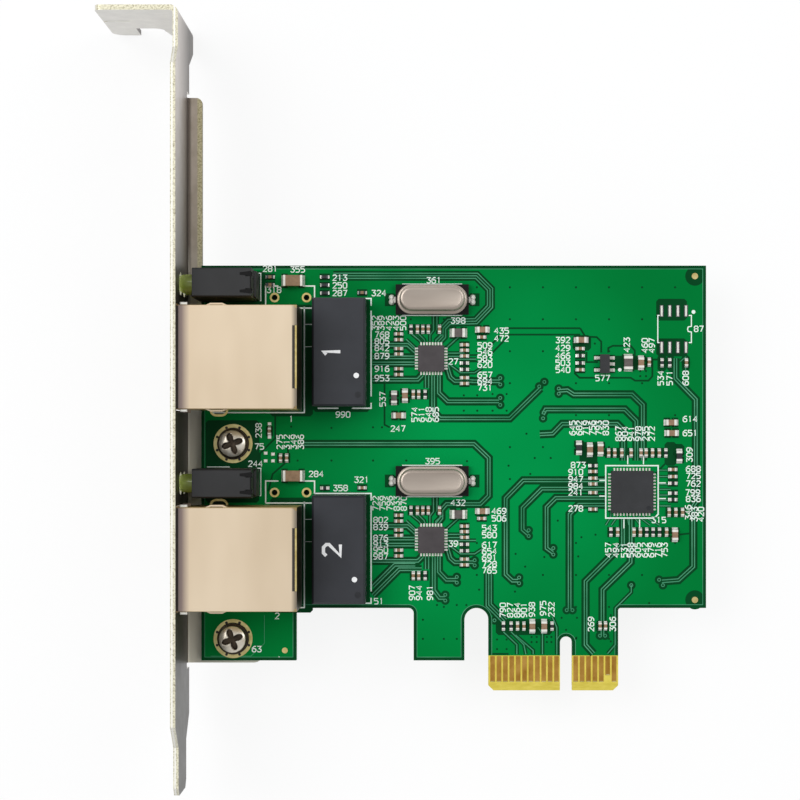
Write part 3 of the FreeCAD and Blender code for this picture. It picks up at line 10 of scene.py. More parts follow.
import bpy
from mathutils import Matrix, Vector


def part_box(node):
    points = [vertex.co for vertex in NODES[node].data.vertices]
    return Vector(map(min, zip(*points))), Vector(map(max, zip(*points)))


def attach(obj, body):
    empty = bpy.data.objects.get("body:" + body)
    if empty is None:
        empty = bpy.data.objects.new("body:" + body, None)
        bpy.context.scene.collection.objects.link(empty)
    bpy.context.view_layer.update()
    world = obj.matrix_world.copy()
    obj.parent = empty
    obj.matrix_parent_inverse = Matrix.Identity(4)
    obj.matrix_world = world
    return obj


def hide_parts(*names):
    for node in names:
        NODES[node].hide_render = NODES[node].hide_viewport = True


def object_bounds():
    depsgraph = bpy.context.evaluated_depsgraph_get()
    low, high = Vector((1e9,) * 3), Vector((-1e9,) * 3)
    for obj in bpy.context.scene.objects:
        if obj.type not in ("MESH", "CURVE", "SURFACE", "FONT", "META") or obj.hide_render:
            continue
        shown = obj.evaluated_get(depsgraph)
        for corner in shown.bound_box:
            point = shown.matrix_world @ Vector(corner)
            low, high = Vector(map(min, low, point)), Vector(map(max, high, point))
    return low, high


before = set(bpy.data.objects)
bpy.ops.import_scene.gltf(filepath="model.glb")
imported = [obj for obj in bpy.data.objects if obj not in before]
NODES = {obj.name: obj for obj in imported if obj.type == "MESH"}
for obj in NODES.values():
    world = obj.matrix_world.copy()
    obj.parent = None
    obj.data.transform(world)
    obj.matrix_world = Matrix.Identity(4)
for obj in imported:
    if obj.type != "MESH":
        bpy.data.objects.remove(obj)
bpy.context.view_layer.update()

MM = 0.001
PORTS = ("1", "2")


def node_box(name):
    """A CAD node's low and high corners."""
    low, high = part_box(name)
    return low / MM, high / MM


def at_ports(pattern):
    """The name of a node at each port, with its low and high corners."""
    for port in PORTS:
        yield (pattern % port, *node_box(pattern % port))


def middle(low, high):
    """The x and y of a box's centre."""
    return (low[0] + high[0]) / 2, (low[1] + high[1]) / 2


BOTTOM, TOP = (corner.z for corner in node_box("circuit_board"))


# ---------------------------------------------------------------- materials

def srgb(red, green, blue):
    """A colour given as 0 to 255 values, as linear light."""
    def linear(value):
        part = value / 255
        return part / 12.92 if part <= 0.04045 else ((part + 0.055) / 1.055) ** 2.4
    return linear(red), linear(green), linear(blue)


class Look:
    """A material in the making: each call adds nodes to it and gives back an output."""

    def __init__(self, name):
        self.material = bpy.data.materials.new(name)
        self.material.use_nodes = True
        self.tree = self.material.node_tree
        self.tree.nodes.clear()
        self.shader = self.add("BsdfPrincipled", {})
        self.output = self.add("OutputMaterial", {"Surface": self.shader.outputs["BSDF"]})

    def add(self, kind, inputs, **settings):
        """A new node; each input gets a plain value or a link from another node's output."""
        node = self.tree.nodes.new("ShaderNode" + kind)
        for name, value in settings.items():
            setattr(node, name, value)
        self.feed(node, inputs)
        return node

    def feed(self, node, inputs):
        for name, value in inputs.items():
            if isinstance(value, bpy.types.NodeSocket):
                self.tree.links.new(value, node.inputs[name])
            else:
                node.inputs[name].default_value = value

    def place(self):
        """The place on the part, in metres."""
        return self.add("TexCoord", {}).outputs["Object"]

    def noise(self, size, detail=3.0, roughness=0.55, stretch=(1, 1, 1)):
        """Noise whose features are about as wide as the size."""
        vector = self.add("Mapping", {"Vector": self.place(), "Scale": stretch}).outputs["Vector"]
        return self.add("TexNoise", {"Vector": vector, "Scale": 1 / (size * MM), "Detail": detail,
                                     "Roughness": roughness}).outputs["Fac"]

    def ramp(self, factor, dark, light, low=0.3, high=0.7):
        """A colour between two, by a factor between two stops."""
        node = self.add("ValToRGB", {"Fac": factor})
        for stop, level, colour in zip(node.color_ramp.elements, (low, high), (dark, light)):
            stop.position, stop.color = level, (*colour, 1)
        return node.outputs["Color"]

    def span(self, value, low, high, ends=(0.0, 1.0)):
        """Where a value lies between two levels, from 0 to 1 or between the ends given."""
        return self.add("MapRange", {"Value": value, "From Min": low, "From Max": high,
                                     "To Min": ends[0], "To Max": ends[1]}).outputs["Result"]

    def relief(self, height, distance):
        return self.add("Bump", {"Height": height, "Distance": distance * MM,
                                 "Strength": 1.0}).outputs["Normal"]

    def facing(self, axis, low, high):
        """How far a surface faces along an axis of the part, from 0 to 1."""
        normal = self.add("NewGeometry", {}).outputs["True Normal"]
        return self.span(self.add("SeparateXYZ", {"Vector": normal}).outputs[axis], low, high)

    def along(self, axis, low, high):
        """How far a place lies between two levels on an axis of the part."""
        split = self.add("SeparateXYZ", {"Vector": self.place()})
        return self.span(split.outputs[axis], low * MM, high * MM)

    def away_from(self, centre, low, high):
        """How far a place lies from a centre, between two distances."""
        centre = [value * MM for value in centre]
        distance = self.add("VectorMath", {0: self.place(), 1: centre}, operation="DISTANCE")
        return self.span(distance.outputs["Value"], low * MM, high * MM)

    def maths(self, operation, first, second):
        return self.add("Math", {0: first, 1: second}, operation=operation).outputs[0]

    def mix(self, factor, first, second):
        """A mix of two colours, each a plain colour or an output."""
        first, second = ((*part, 1) if isinstance(part, tuple) else part
                         for part in (first, second))
        return self.add("Mix", {"Factor": factor, "A": first, "B": second},
                        data_type="RGBA").outputs["Result"]

    def flat(self, low, high):
        """How level a surface lies, up or down."""
        return self.maths("MAXIMUM", self.facing("Z", low, high), self.facing("Z", -low, -high))

    def finish(self, **inputs):
        """Feed the shader. An underscore in a name stands for a space."""
        self.feed(self.shader, {name.replace("_", " "): value for name, value in inputs.items()})
        return self.material


def surface(name, dark, light, rough, metallic=0.0, size=1.5, stretch=(1, 1, 1), bump=0.004,
            grain=0.12, specular=0.5):
    """A material whose tone wanders between two colours, with a fine grained relief."""
    look = Look(name)
    tone = look.noise(size, stretch=stretch)
    return look.finish(
        Base_Color=look.ramp(tone, srgb(*dark), srgb(*light)),
        Roughness=look.span(tone, 0, 1, rough),
        Normal=look.relief(look.noise(grain, detail=2.0, stretch=stretch), bump),
        Metallic=metallic, Specular_IOR_Level=specular)


MASK_BARE = surface("mask_over_laminate", (0, 58, 24), (0, 72, 34), (0.36, 0.46), size=9,
                    bump=0.003, grain=0.3, specular=0.06)
MASK_TRACE = surface("mask_over_trace", (46, 128, 88), (88, 160, 124), (0.3, 0.4), size=6,
                     bump=0.002, grain=0.3, specular=0.1)
GOLD = surface("gold_plate", (176, 124, 48), (212, 164, 84), (0.26, 0.36), 1.0, 2.5,
               bump=0.001, grain=0.2)
PALE_GOLD = surface("pale_gold", (206, 182, 110), (232, 214, 150), (0.28, 0.38), 1.0, 1.0,
                    bump=0.001, grain=0.2)
PAD_GOLD = surface("pad_gold", (184, 168, 104), (222, 208, 148), (0.3, 0.42), 0.7, 1.4,
                   grain=0.2)
SILK = surface("silkscreen", (226, 240, 230), (244, 250, 244), (0.55, 0.65), size=0.6,
               grain=0.08)
WHITE_INK = surface("white_ink", (232, 232, 232), (246, 246, 246), (0.5, 0.6), size=0.8,
                    grain=0.1)
SOLDER = surface("solder", (186, 186, 180), (240, 240, 234), (0.22, 0.36), 0.45, 0.5,
                 bump=0.012, grain=0.35)
TIN = surface("tinned_metal", (176, 174, 166), (216, 212, 202), (0.26, 0.4), 0.9, 0.8, grain=0.2)
BRIGHT_TIN = surface("bright_tin", (222, 220, 210), (244, 242, 234), (0.28, 0.4), 0.25, 0.5,
                     bump=0.008, grain=0.2)
# Dark tin: painted shade on chip caps under the bracket and on the leads under the transformer
# cases; also the empty footprint's lands.
DULL_AND_SHADED_TIN = surface("dull_and_shaded_tin", (58, 60, 66), (84, 86, 92), (0.4, 0.5), 0.7, 0.8, grain=0.2)
CAN = surface("crystal_can", (168, 154, 142), (186, 174, 162), (0.3, 0.4), 0.75, 5,
              stretch=(0.2, 1, 1), grain=0.1)
BLACK_PLASTIC = surface("black_plastic", (15, 15, 16), (24, 24, 26), (0.42, 0.54), size=3,
                        bump=0.012)
CASE = surface("moulded_case", (27, 29, 36), (37, 39, 46), (0.4, 0.52), size=6, bump=0.012,
               grain=0.1)
# Darker than the case: painted shade of a dimple, with a smoother finish.
DIMPLE_SHADE = surface("case_dimple", (18, 20, 25), (26, 28, 33), (0.3, 0.4), size=0.5, bump=0.002)
CHIP_GREY = surface("chip_grey", (54, 48, 50), (66, 60, 62), (0.42, 0.52), size=2, bump=0.008,
                    grain=0.07)
CHIP_BLACK = surface("chip_black", (28, 29, 31), (38, 39, 42), (0.4, 0.5), size=3, bump=0.01,
                     grain=0.08)
CERAMIC_TAN = surface("ceramic_tan", (128, 100, 72), (152, 122, 90), (0.4, 0.5), size=0.6,
                      bump=0.006, grain=0.08)
CERAMIC_GREY = surface("ceramic_grey", (132, 102, 78), (158, 126, 98), (0.4, 0.5), size=0.5,
                       bump=0.006, grain=0.07)
RESISTOR = surface("resistor_glaze", (28, 28, 31), (40, 40, 44), (0.28, 0.38), size=0.5,
                   grain=0.07)
FERRITE = surface("ferrite", (80, 72, 68), (100, 92, 88), (0.4, 0.5), size=0.7, bump=0.01,
                  grain=0.1)
# Dark green: mask over the test holes, and painted shade in the slots.
MASK_AND_HOLE_SHADE = surface("hole_dark", (16, 44, 20), (38, 62, 26), (0.6, 0.7), size=0.5)
# Dark brown: painted shade in gaps, in via holes and in the screws' seats.
GAP_SHADE = surface("gap_shade_brown", (30, 24, 18), (46, 38, 28), (0.5, 0.6), size=0.5)
SHADE = surface("shade_black", (8, 8, 9), (16, 15, 15), (0.6, 0.7), size=0.5, specular=0.2)


def led_material():
    """Clear resin with a faint olive tint."""
    look = Look("led_resin")
    colour = look.ramp(look.noise(1.5), srgb(176, 198, 84), srgb(214, 228, 130))
    return look.finish(Base_Color=colour, Roughness=0.12, Transmission_Weight=0.35, IOR=1.5)


def board_material():
    """Mask over copper on both faces, brighter round one spot as a painted pool of light, darker
    edges, and bare laminate on the tongue.
    """
    look = Look("board_core")
    tone = look.noise(34, detail=2.0)
    centre = look.ramp(tone, srgb(0, 138, 66), srgb(0, 154, 78))
    outer = look.ramp(tone, srgb(0, 112, 48), srgb(0, 126, 56))
    # Painted pool of light: brighter near a spot on the board, darker towards the rim.
    pour_with_painted_light = look.mix(look.away_from((-13, 36, 0), 6, 34), centre, outer)
    strands = look.noise(1.6, detail=4.0, stretch=(1, 1, 9))
    side = look.ramp(strands, srgb(0, 78, 38), srgb(10, 96, 50))
    yellow = look.ramp(strands, srgb(206, 188, 74), srgb(226, 208, 96))
    green = look.mix(look.flat(0.3, 0.6), side, pour_with_painted_light)
    tongue = look.maths("MULTIPLY", look.along("Y", 5.52, 5.48), look.along("X", -14.1, -14))
    return look.finish(
        Base_Color=look.mix(tongue, green, yellow), Roughness=look.span(tone, 0, 1, (0.36, 0.46)),
        Normal=look.relief(look.noise(0.5, detail=2.0), 0.002), Specular_IOR_Level=0.02)


def bracket_material():
    """Plated sheet: cream cut edges with fine specks, pale faces and a brownish flange, with
    painted shade and reflection on the face towards the jacks, painted shade in the bend and
    painted light on the lower flange.
    """
    look = Look("bracket_plate")
    tone, speck = look.noise(2.5), look.noise(0.28, roughness=0.7)
    face = look.ramp(tone, srgb(214, 211, 205), srgb(228, 225, 219))
    # The face towards the jacks is painted: dark near the jacks as painted shade and reflection,
    # pale higher up as a painted reflection that darkens downwards as painted shade.
    shade_near_jacks = look.ramp(tone, srgb(44, 42, 36), srgb(58, 55, 49))
    above = look.ramp(tone, srgb(196, 186, 180), srgb(214, 206, 200))
    above = look.mix(look.along("Z", -3, 13), srgb(64, 54, 46), above)
    inner = look.mix(look.along("Y", 62, 92), shade_near_jacks, above)
    flange = look.ramp(tone, srgb(184, 170, 152), srgb(206, 192, 176))
    golden = look.ramp(speck, srgb(170, 158, 116), srgb(226, 216, 176), 0.36, 0.6)
    # A dark band along the bend: painted shade in the fold.
    flange = look.mix(look.along("X", -59.15, -58.75), srgb(70, 58, 46), flange)
    flange = look.mix(look.along("X", -57.95, -57.75), flange, golden)
    # Towards the lower end the flange's top is painted near white and made less metallic: painted
    # light where the board and bracket shade it.
    near = look.along("Y", 70, 50)
    flange = look.mix(near, flange, srgb(238, 232, 214))
    white = look.ramp(speck, srgb(214, 210, 190), srgb(246, 244, 236), 0.3, 0.44)
    edge = look.ramp(speck, srgb(140, 130, 94), srgb(228, 223, 198), 0.32, 0.54)
    plate_edge = look.mix(look.along("X", -60.1, -60.0), edge, white)
    edge = look.mix(look.along("X", -59.85, -59.75), plate_edge, edge)
    # Faces pointing towards the jacks take that painted inner colour.
    sides = look.mix(look.facing("X", 0.3, 0.8), face, inner)
    level = look.mix(look.along("X", -59.42, -59.36), edge, flange)
    flat = look.flat(0.4, 0.8)
    bare = look.maths("SUBTRACT", 1.0, look.maths("MULTIPLY", near, flat))
    return look.finish(
        Base_Color=look.mix(flat, sides, level), Roughness=look.span(tone, 0, 1, (0.32, 0.46)),
        Normal=look.relief(speck, 0.006), Metallic=look.maths("MULTIPLY", bare, 0.35))


def shield_material():
    """Warm plated shell: tan faces, browner next to the bracket as a painted reflection, golden cut
    edges, and painted shade on the rear strip of the top and on the back faces.
    """
    look = Look("shield_plate")
    tone = look.noise(14, stretch=(1, 0.35, 1))
    plate = look.ramp(tone, srgb(214, 192, 162), srgb(230, 210, 182))
    reflected_mauve = look.ramp(tone, srgb(136, 118, 112), srgb(150, 132, 124))
    gold = look.ramp(tone, srgb(186, 152, 84), srgb(214, 184, 116))
    brown = look.ramp(tone, srgb(74, 60, 44), srgb(92, 76, 56))
    # Painted reflection: a mauve band on the top next to the bracket.
    top = look.mix(look.along("X", -58.6, -57.4), reflected_mauve, plate)
    # A greyer strip at the rear end of the top: painted shade.
    top = look.mix(look.along("X", -42.15, -41.5), top, srgb(142, 130, 112))
    # Faces pointing to the rear are dark brown: painted shade.
    rear = look.facing("X", 0.5, 0.9)
    sides = look.mix(rear, gold, brown)
    metallic = look.maths("ADD", look.maths("MULTIPLY", rear, 0.55), 0.45)
    return look.finish(
        Base_Color=look.mix(look.facing("Z", 0.5, 0.95), sides, top), Metallic=metallic,
        Roughness=look.span(tone, 0, 1, (0.3, 0.38)),
        Normal=look.relief(look.noise(0.6, detail=2.0), 0.002))


def screw_material():
    """Bright plated metal, painted dark brown below a height as shade in the cross and on the low
    rim.
    """
    look = Look("screw_head")
    tone = look.noise(1.2)
    bright = look.ramp(tone, srgb(216, 204, 184), srgb(246, 240, 226))
    painted_shade = look.ramp(tone, srgb(40, 31, 22), srgb(74, 62, 48))
    return look.finish(Base_Color=look.mix(look.along("Z", 2.16, 2.34), painted_shade, bright),
                       Roughness=look.span(tone, 0, 1, (0.24, 0.34)), Metallic=0.7)


SCREW_HEAD = screw_material()
LED_RESIN = led_material()
BOARD_CORE = board_material()
BRACKET = bracket_material()
SHIELD = shield_material()


# ---------------------------------------------------------------- mesh building

def circle(x, y, radius, count):
    turns = [math.tau * index / count for index in range(count)]
    return [(x + radius * math.cos(turn), y + radius * math.sin(turn)) for turn in turns]


def stadium(x, y, length, width, count=14):
    """The outline of a slot with round ends, anticlockwise."""
    radius = width / 2
    turns = [math.radians(180 * step / count - 90) for step in range(count + 1)]
    return [(x + end * (length / 2 - radius) + end * radius * math.cos(turn),
             y + end * radius * math.sin(turn)) for end in (1, -1) for turn in turns]


def offset_line(line, distance, closed=False):
    """The line moved to its left, with its corners mitred."""
    moved = []
    for index, (x, y) in enumerate(line):
        before = line[index - 1] if index or closed else None
        after = line[(index + 1) % len(line)] if index < len(line) - 1 or closed else None
        run_in = Vector((x - before[0], y - before[1])).normalized() if before else None
        run_out = Vector((after[0] - x, after[1] - y)).normalized() if after else None
        total = (run_in or run_out) + (run_out or run_in)
        normal = Vector((-total.y, total.x)) * (2 * distance / max(total.length_squared, 1.0))
        moved.append((x + normal.x, y + normal.y))
    return moved


class Build:
    """Gathers small closed shapes and turns them into one piece that rides on the card."""

    def __init__(self, name, material, slot, smooth=False):
        self.name, self.material, self.slot, self.smooth = name, material, slot, smooth
        self.points, self.faces = [], []

    def stack(self, rings, wrap=False, tip=None):
        """Rings joined in order and closed at both ends, where wanted with a pointed top."""
        first, count = len(self.points), len(rings[0])
        self.points += [point for ring in rings for point in ring]
        starts = [first + count * number for number in range(len(rings))]
        last = starts[-1]
        steps = [(index, (index + 1) % count) for index in range(count)]
        for here, there in zip(starts, starts[1:] + (starts[:1] if wrap else [])):
            quads = [(here + index, here + after, there + after, there + index)
                     for index, after in steps]
            # The bent quads of a pointed top are split the other way.
            self.faces += [quad[3:] + quad[:3] for quad in quads] if tip else quads
        if not wrap:
            self.faces.append(tuple(range(first + count - 1, first - 1, -1)))
        if tip:
            self.faces += [(last + index, last + after, len(self.points))
                           for index, after in steps]
            self.points.append(tip)
        elif not wrap:
            self.faces.append(tuple(range(last, last + count)))

    def prism(self, outline, low, high):
        """A flat-topped shape on an outline given anticlockwise."""
        self.stack([[(x, y, level) for x, y in outline] for level in (low, high)])

    def box(self, low, high, bevel=0.0):
        """A box, with its upper edges bevelled when a bevel is given."""
        (x0, y0, z0), (x1, y1, z1) = low, high
        rings = [(0, z0), (0, z1 - bevel), (bevel, z1)] if bevel else [(0, z0), (0, z1)]
        self.stack([[(x0 + inset, y0 + inset, z), (x1 - inset, y0 + inset, z),
                     (x1 - inset, y1 - inset, z), (x0 + inset, y1 - inset, z)]
                    for inset, z in rings])

    def lathe(self, profile, x, y, count, axis="z"):
        """A turned shape: (radius, level) pairs from low to high."""
        self.stack([[(*spot, level) if axis == "z" else (level, *spot)
                     for spot in circle(x, y, radius, count)] for radius, level in profile])

    def disc(self, x, y, radius, low, high, count=20):
        self.prism(circle(x, y, radius, count), low, high)

    def washer(self, x, y, inner, outer, low, high, count):
        corners = ((inner, low), (outer, low), (outer, high), (inner, high))
        self.stack([[(*spot, level) for spot in circle(x, y, radius, count)]
                    for radius, level in corners], wrap=True)

    def ribbon(self, line, width, low, high, closed=False):
        """A flat strip of constant width along a line of (x, y) points."""
        sides = (offset_line(line, side * width / 2, closed) for side in (1, -1))
        self.stack([[(*left, low), (*left, high), (*right, high), (*right, low)]
                    for left, right in zip(*sides)], wrap=closed)

    def finish(self, *replaces):
        """Make the object, ride it on the card and hide the CAD nodes it stands for."""
        mesh = bpy.data.meshes.new(self.name)
        mesh.from_pydata([(x * MM, y * MM, z * MM) for x, y, z in self.points], [], self.faces)
        mesh.validate()
        mesh.update()
        mesh.materials.append(self.material)
        if self.smooth:
            mesh.shade_smooth()
            mesh.set_sharp_from_angle(angle=math.radians(38))
        piece = bpy.data.objects.new(self.name, mesh)
        bpy.context.scene.collection.objects.link(piece)
        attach(piece, "root")
        if replaces:
            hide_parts(*replaces)


def islands(name):
    """The boxes of the separate solids in a CAD node."""
    mesh = NODES[name].data
    spots = [tuple(round(value / MM, 3) for value in vertex.co) for vertex in mesh.vertices]
    parent = {spot: spot for spot in spots}

    def root(spot):
        while parent[spot] != spot:
            parent[spot] = parent[parent[spot]]
            spot = parent[spot]
        return spot

    for edge in mesh.edges:
        first, second = (root(spots[index]) for index in edge.vertices)
        parent[first] = second
    groups = {}
    for spot in spots:
        groups.setdefault(root(spot), []).append(spot)
    return sorted((tuple(map(min, zip(*group))), tuple(map(max, zip(*group))))
                  for group in groups.values())


def face_loops(level, up):
    """The outline of the board's upper or lower face, then its holes, each with its area."""
    mesh = NODES["circuit_board"].data
    uses = {}
    for face in mesh.polygons:
        if face.normal.z * up > 0.9 and abs(face.center.z / MM - level) < 0.01:
            for pair in face.edge_keys:
                uses[pair] = uses.get(pair, 0) + 1
    beside = {}
    for pair, count in uses.items():
        if count == 1:
            places = [mesh.vertices[index].co / MM for index in pair]
            first, second = ((round(place.x, 3), round(place.y, 3)) for place in places)
            beside.setdefault(first, []).append(second)
            beside.setdefault(second, []).append(first)
    loops = []
    while beside:
        loop = [min(beside)]
        here = beside[loop[0]][0]
        while here != loop[0]:
            loop.append(here)
            here = next(spot for spot in beside[here] if spot != loop[-2])
        for spot in loop:
            del beside[spot]
        area = sum(a[0] * b[1] - b[0] * a[1] for a, b in zip(loop, loop[1:] + loop[:1])) / 2
        loops.append((loop if area > 0 else loop[::-1], abs(area)))
    return sorted(loops, key=lambda item: -item[1])


# ---------------------------------------------------------------- CAD nodes kept as they are

# A name with %s in it stands for a node at each port.
NODE_LOOKS = (
    (BOARD_CORE, "circuit_board"),
    (BRACKET, "bracket"),
    (GOLD, "edge_contacts_front", "edge_contacts_back", "jack_%s_contacts"),
    (PALE_GOLD, "fiducials"),
    (PAD_GOLD, "screw_pads"),
    (DULL_AND_SHADED_TIN, "footprint_lands"),
    (TIN, "regulator_leads", "led_%s_leads", "crystal_%s_leads"),
    (BRIGHT_TIN, "inductor_ends", "ferrite_bead_ends", "port_capacitor_ends",
     "medium_capacitor_ends", "medium_resistor_ends"),
    (CHIP_BLACK, "bridge_chip", "regulator"),
    (CHIP_GREY, "lan_chip_%s"),
    (FERRITE, "inductors", "ferrite_bead"),
    (CERAMIC_TAN, "port_capacitors"),
    (CERAMIC_GREY, "medium_capacitors"),
    (RESISTOR, "medium_resistors"),
    (SHIELD, "jack_%s_shield"),
    (BLACK_PLASTIC, "jack_%s_housing", "jack_%s_insert", "led_%s_housing"),
    (CASE, "transformer_%s_case"),
    (SHADE, "crystal_%s_base"),
)


def paint_nodes():
    for material, *names in NODE_LOOKS:
        for name in names:
            for node in {name.replace("%s", port) for port in PORTS}:
                for slot in NODES[node].material_slots:
                    slot.material = material


# ---------------------------------------------------------------- printed circuit

# Levels of the bare mask, the tracks, the white print and the lands.
BARE = TOP + 0.006
TRACE = TOP + 0.013
INK = TOP + 0.022
LAND = TOP + 0.035

# Copper tracks in clearances, as lines of points; distances from the key notch's centre
# and from the tongue's lower edge. A pair is two tracks side by side.
PAIRS = (
    ((-23.6, 19.7), (-26.8, 19.7), (-30.2, 16.3)), ((-22.6, 19), (-26.1, 19), (-30.2, 14.9)),
    ((6.2, 32.9), (-6.7, 32.9), (-9.45, 30.1), (-9.45, 18.2), (-8.4, 17.2), (-7.5, 17.2)),
    ((6.2, 31.6), (-3.8, 31.6), (-6.8, 28.6), (-6.8, 25.2), (-6, 24.5)),
    ((6.2, 30.15), (-1.6, 30.15), (-3.05, 28.7), (-3.05, 22.3), (-2.1, 21.6)),
    ((6.2, 29.1), (2, 29.1), (0.55, 27.6), (0.55, 12.8)),
    ((8.9, 27), (8.9, 22.9), (3.05, 17.1), (3.05, 7.2), (4.3, 5.8)),
    ((10.1, 27), (10.1, 20.1), (5.7, 15.8), (5.7, 10.9)),
    ((5.7, 9.6), (5.7, 8.6)),
    ((17.1, 52), (17.1, 48.85), (20.3, 45.55), (20.3, 29.5), (19.9, 28.9), (19.9, 19.4),
     (17.6, 17.3), (15, 17.1)),
    ((-1.15, 46.9), (0.2, 47), (1.2, 46.35), (10.3, 46.35), (12, 44.7), (12, 36)),
    ((-3.6, 43.2), (-3.2, 44), (9.2, 44), (11, 42.2), (11, 36)),
    ((-4.1, 40.1), (-2.1, 40.2), (-0.6, 41.75), (8, 41.75), (8.95, 40.8), (8.95, 36)),
    ((-20.8, 49.3), (-20.8, 43.7), (-19.7, 42.6), (-8.8, 42.6), (-4, 47.3)),
    ((-20.7, 20.9), (-20.7, 15.7), (-19.8, 14.5), (-19, 14.5)),
    ((-14.8, 48.4), (-10.4, 48.4)),
    ((-19.9, 49.4), (-19.9, 46.6), (-18.5, 45.25), (-10.5, 45.25)),
    ((-19.9, 21.1), (-19.9, 18.6), (-18.7, 17.35), (-17.2, 17.35)),
    ((-41.6, 38.6), (-14.4, 38.6), (-12.1, 36.4), (-12.1, 30.5), (-13.4, 29.2), (-18.7, 29.2),
     (-19.5, 28.3), (-19.5, 27), (-20.2, 26.1)),
)
TRIPLES = (
    ((-36.4, 64.9), (-14, 64.9), (-11.9, 62.8), (-11.9, 60.1), (-14.1, 57.8), (-18.3, 57.7),
     (-19.25, 56.7), (-19.25, 55.4), (-20.2, 54.4)),
    ((-12.1, 18.4), (-12.1, 13.4), (-9.6, 10.9)),
)
SINGLES = (
    ((10.2, 16.5), (10.2, 15.4), (7.7, 12.9), (7.7, 7.2), (6.5, 5.8)),
    ((-9.8, 9.2), (-7.7, 7.2), (-7.7, 5.7)),
    ((-8.6, 9.2), (-6.6, 7.2), (-6.3, 5.7)),
    ((-7.9, 8.7), (-5.15, 6.3), (-5.15, 5.7)),
    ((-4.4, 9.9), (-3.7, 9), (-3.7, 5.7)),
    ((-2.15, 11.5), (-1.45, 9.9), (-1.45, 5.7)),
    ((17.9, 51.5), (18.7, 52.2), (18.7, 49.6)),
)
# A wide track, shown by the clearances along its sides.
WIDE = ((-16, 52), (-13.2, 52), (-12, 53.1), (-9, 56.2), (2.2, 56.2))
# Narrow clearances between areas of copper.
GAPS = (
    ((2.2, 56.7), (3, 55.4), (4.8, 55.3), (5.5, 54.6), (5.5, 52.9)),
    ((6.6, 52.9), (6.6, 53.6), (7.3, 53.95), (10.1, 53.95), (10.75, 53.2), (10.75, 51.8)),
    ((1.4, 50.2), (1.4, 49.6), (2.1, 48.95), (10.1, 48.95), (10.8, 48.5), (12.9, 48.5),
     (13.5, 49.2), (13.5, 51.8), (14.6, 51.8)),
    ((3.2, 53), (3.2, 51.4), (5, 51.4)),
    ((-28.4, 48.2), (-28.4, 41.6), (-27.6, 41.2)),
    ((-45.5, 43.4), (-45.5, 39.5), (-47.9, 37.1), (-47.9, 34)),
    ((-43.5, 38.2), (-43.5, 36), (-45.9, 33.9), (-46.6, 31.2)),
    ((15.6, 35.6), (13.9, 33.9)),
    ((17.6, 24.4), (19.3, 24.6)),
    ((-11.9, 5.75), (-9, 5.75)),
)
# Areas with no copper under the mask, as boxes: left, low, right, high.
BARE_AREAS = (
    (-56.4, 29.4, -48, 42.3),
    (-56.4, 60.3, -47, 65.6),
    (-46.3, 42.9, -39.6, 60.4),
    (-46.3, 12.2, -39.6, 30.2),
    (-39.6, 43.6, -30.7, 61.3),
    (-39.6, 13.4, -30.7, 31),
    (14.1, 57.9, 18.9, 61.3),
    (14.1, 52.3, 18.9, 55.1),
    (14.3, 49.9, 15.7, 52.6),
    (15.8, 49.9, 16.9, 52.6),
    (18.1, 49.9, 19.3, 52.6),
    (1, 53.2, 3.9, 55.6),
    (7.4, 50.2, 12, 52.4),
    (2.1, 35.4, 4.9, 38.9),
    (15.4, 35.2, 17.3, 38.9),
    (16.7, 36.6, 18.5, 38.6),
    (-11, 8.7, -2.2, 11.2),
    (4.6, 9, 6.7, 10.9),
)
VIAS = (
    (-7.35, 17.7), (-7.35, 16.8), (-5.85, 25.1), (-5.85, 24.2), (-2, 22.3), (-2, 21.3),
    (0.1, 12.6), (1, 12.6), (5.3, 8.6), (6.1, 8.6), (10.2, 16.5), (14.55, 17.35),
    (15.15, 16.5), (-1.15, 47.25), (-1.15, 46.45), (-3.4, 48.3), (-4.2, 47.6), (-3.6, 42.6),
    (-3.5, 43.5), (-18.9, 15), (-18.9, 14.1), (-17.1, 17.8), (-17.1, 16.9), (-10.3, 48.9),
    (-10.3, 47.9), (-10.3, 45.8), (-10.3, 44.7), (-14.3, 20.4), (-14.3, 19.6), (-11.2, 11),
)
# Via dots that stitch the copper areas: the corner and the pitch of their grid.
STITCH_FIRST, STITCH_PITCH, STITCH_COLUMNS, STITCH_ROWS = (-24.3, 63.1), (5.17, 5), 9, 12
STITCH_MORE = (
    (-22.4, 8.1), (-17.1, 8.1), (-22.4, 11.1), (-17.1, 13.4), (-15.6, 13.4), (-20.2, 13.4),
    (-10.8, 8), (-9.3, 8), (-10.8, 6.5), (-9.3, 6.5), (-5.4, 8.4), (-4.6, 8.4),
    (-5.4, 7.6), (-4.6, 7.6), (-3, 8.4), (-2.3, 8.4), (-3, 7.6), (-2.3, 7.6), (-0.7, 11.4),
    (1.7, 11.4), (0, 9.5), (1.6, 8.3), (7, 11.8), (7, 7.7), (-16, 46.2), (-13.9, 46.2),
    (-11.5, 46.4), (-9.3, 46.4), (-16, 43.8), (-13.9, 43.8), (-11.5, 43.8), (-9.3, 43.8),
    (-28.8, 41.2), (-30.2, 41.2), (-36.7, 41.1), (-36.7, 36), (-30.2, 36), (-43, 41.3),
    (-42, 36), (-25, 36), (-15.5, 35.9), (11.6, 50), (12.5, 50), (11.6, 49.2),
    (12.5, 49.2), (3.6, 54.3), (4.5, 54.3), (3.6, 53.6), (-7.6, 26), (-9, 35.2),
    (-6.2, 40.2), (-4.9, 36.4), (-2.4, 36.4), (-5.6, 33.9), (-1.3, 26.6), (2.4, 24),
    (4.6, 24.4), (-3.4, 20.9), (1.9, 21), (8.6, 18.3), (13, 13.7), (-7.9, 21.4),
    (-6.4, 19.4), (-8, 15.5), (-8, 13.3), (-5.7, 13.2), (-13, 20.3), (-13.6, 15.8),
)
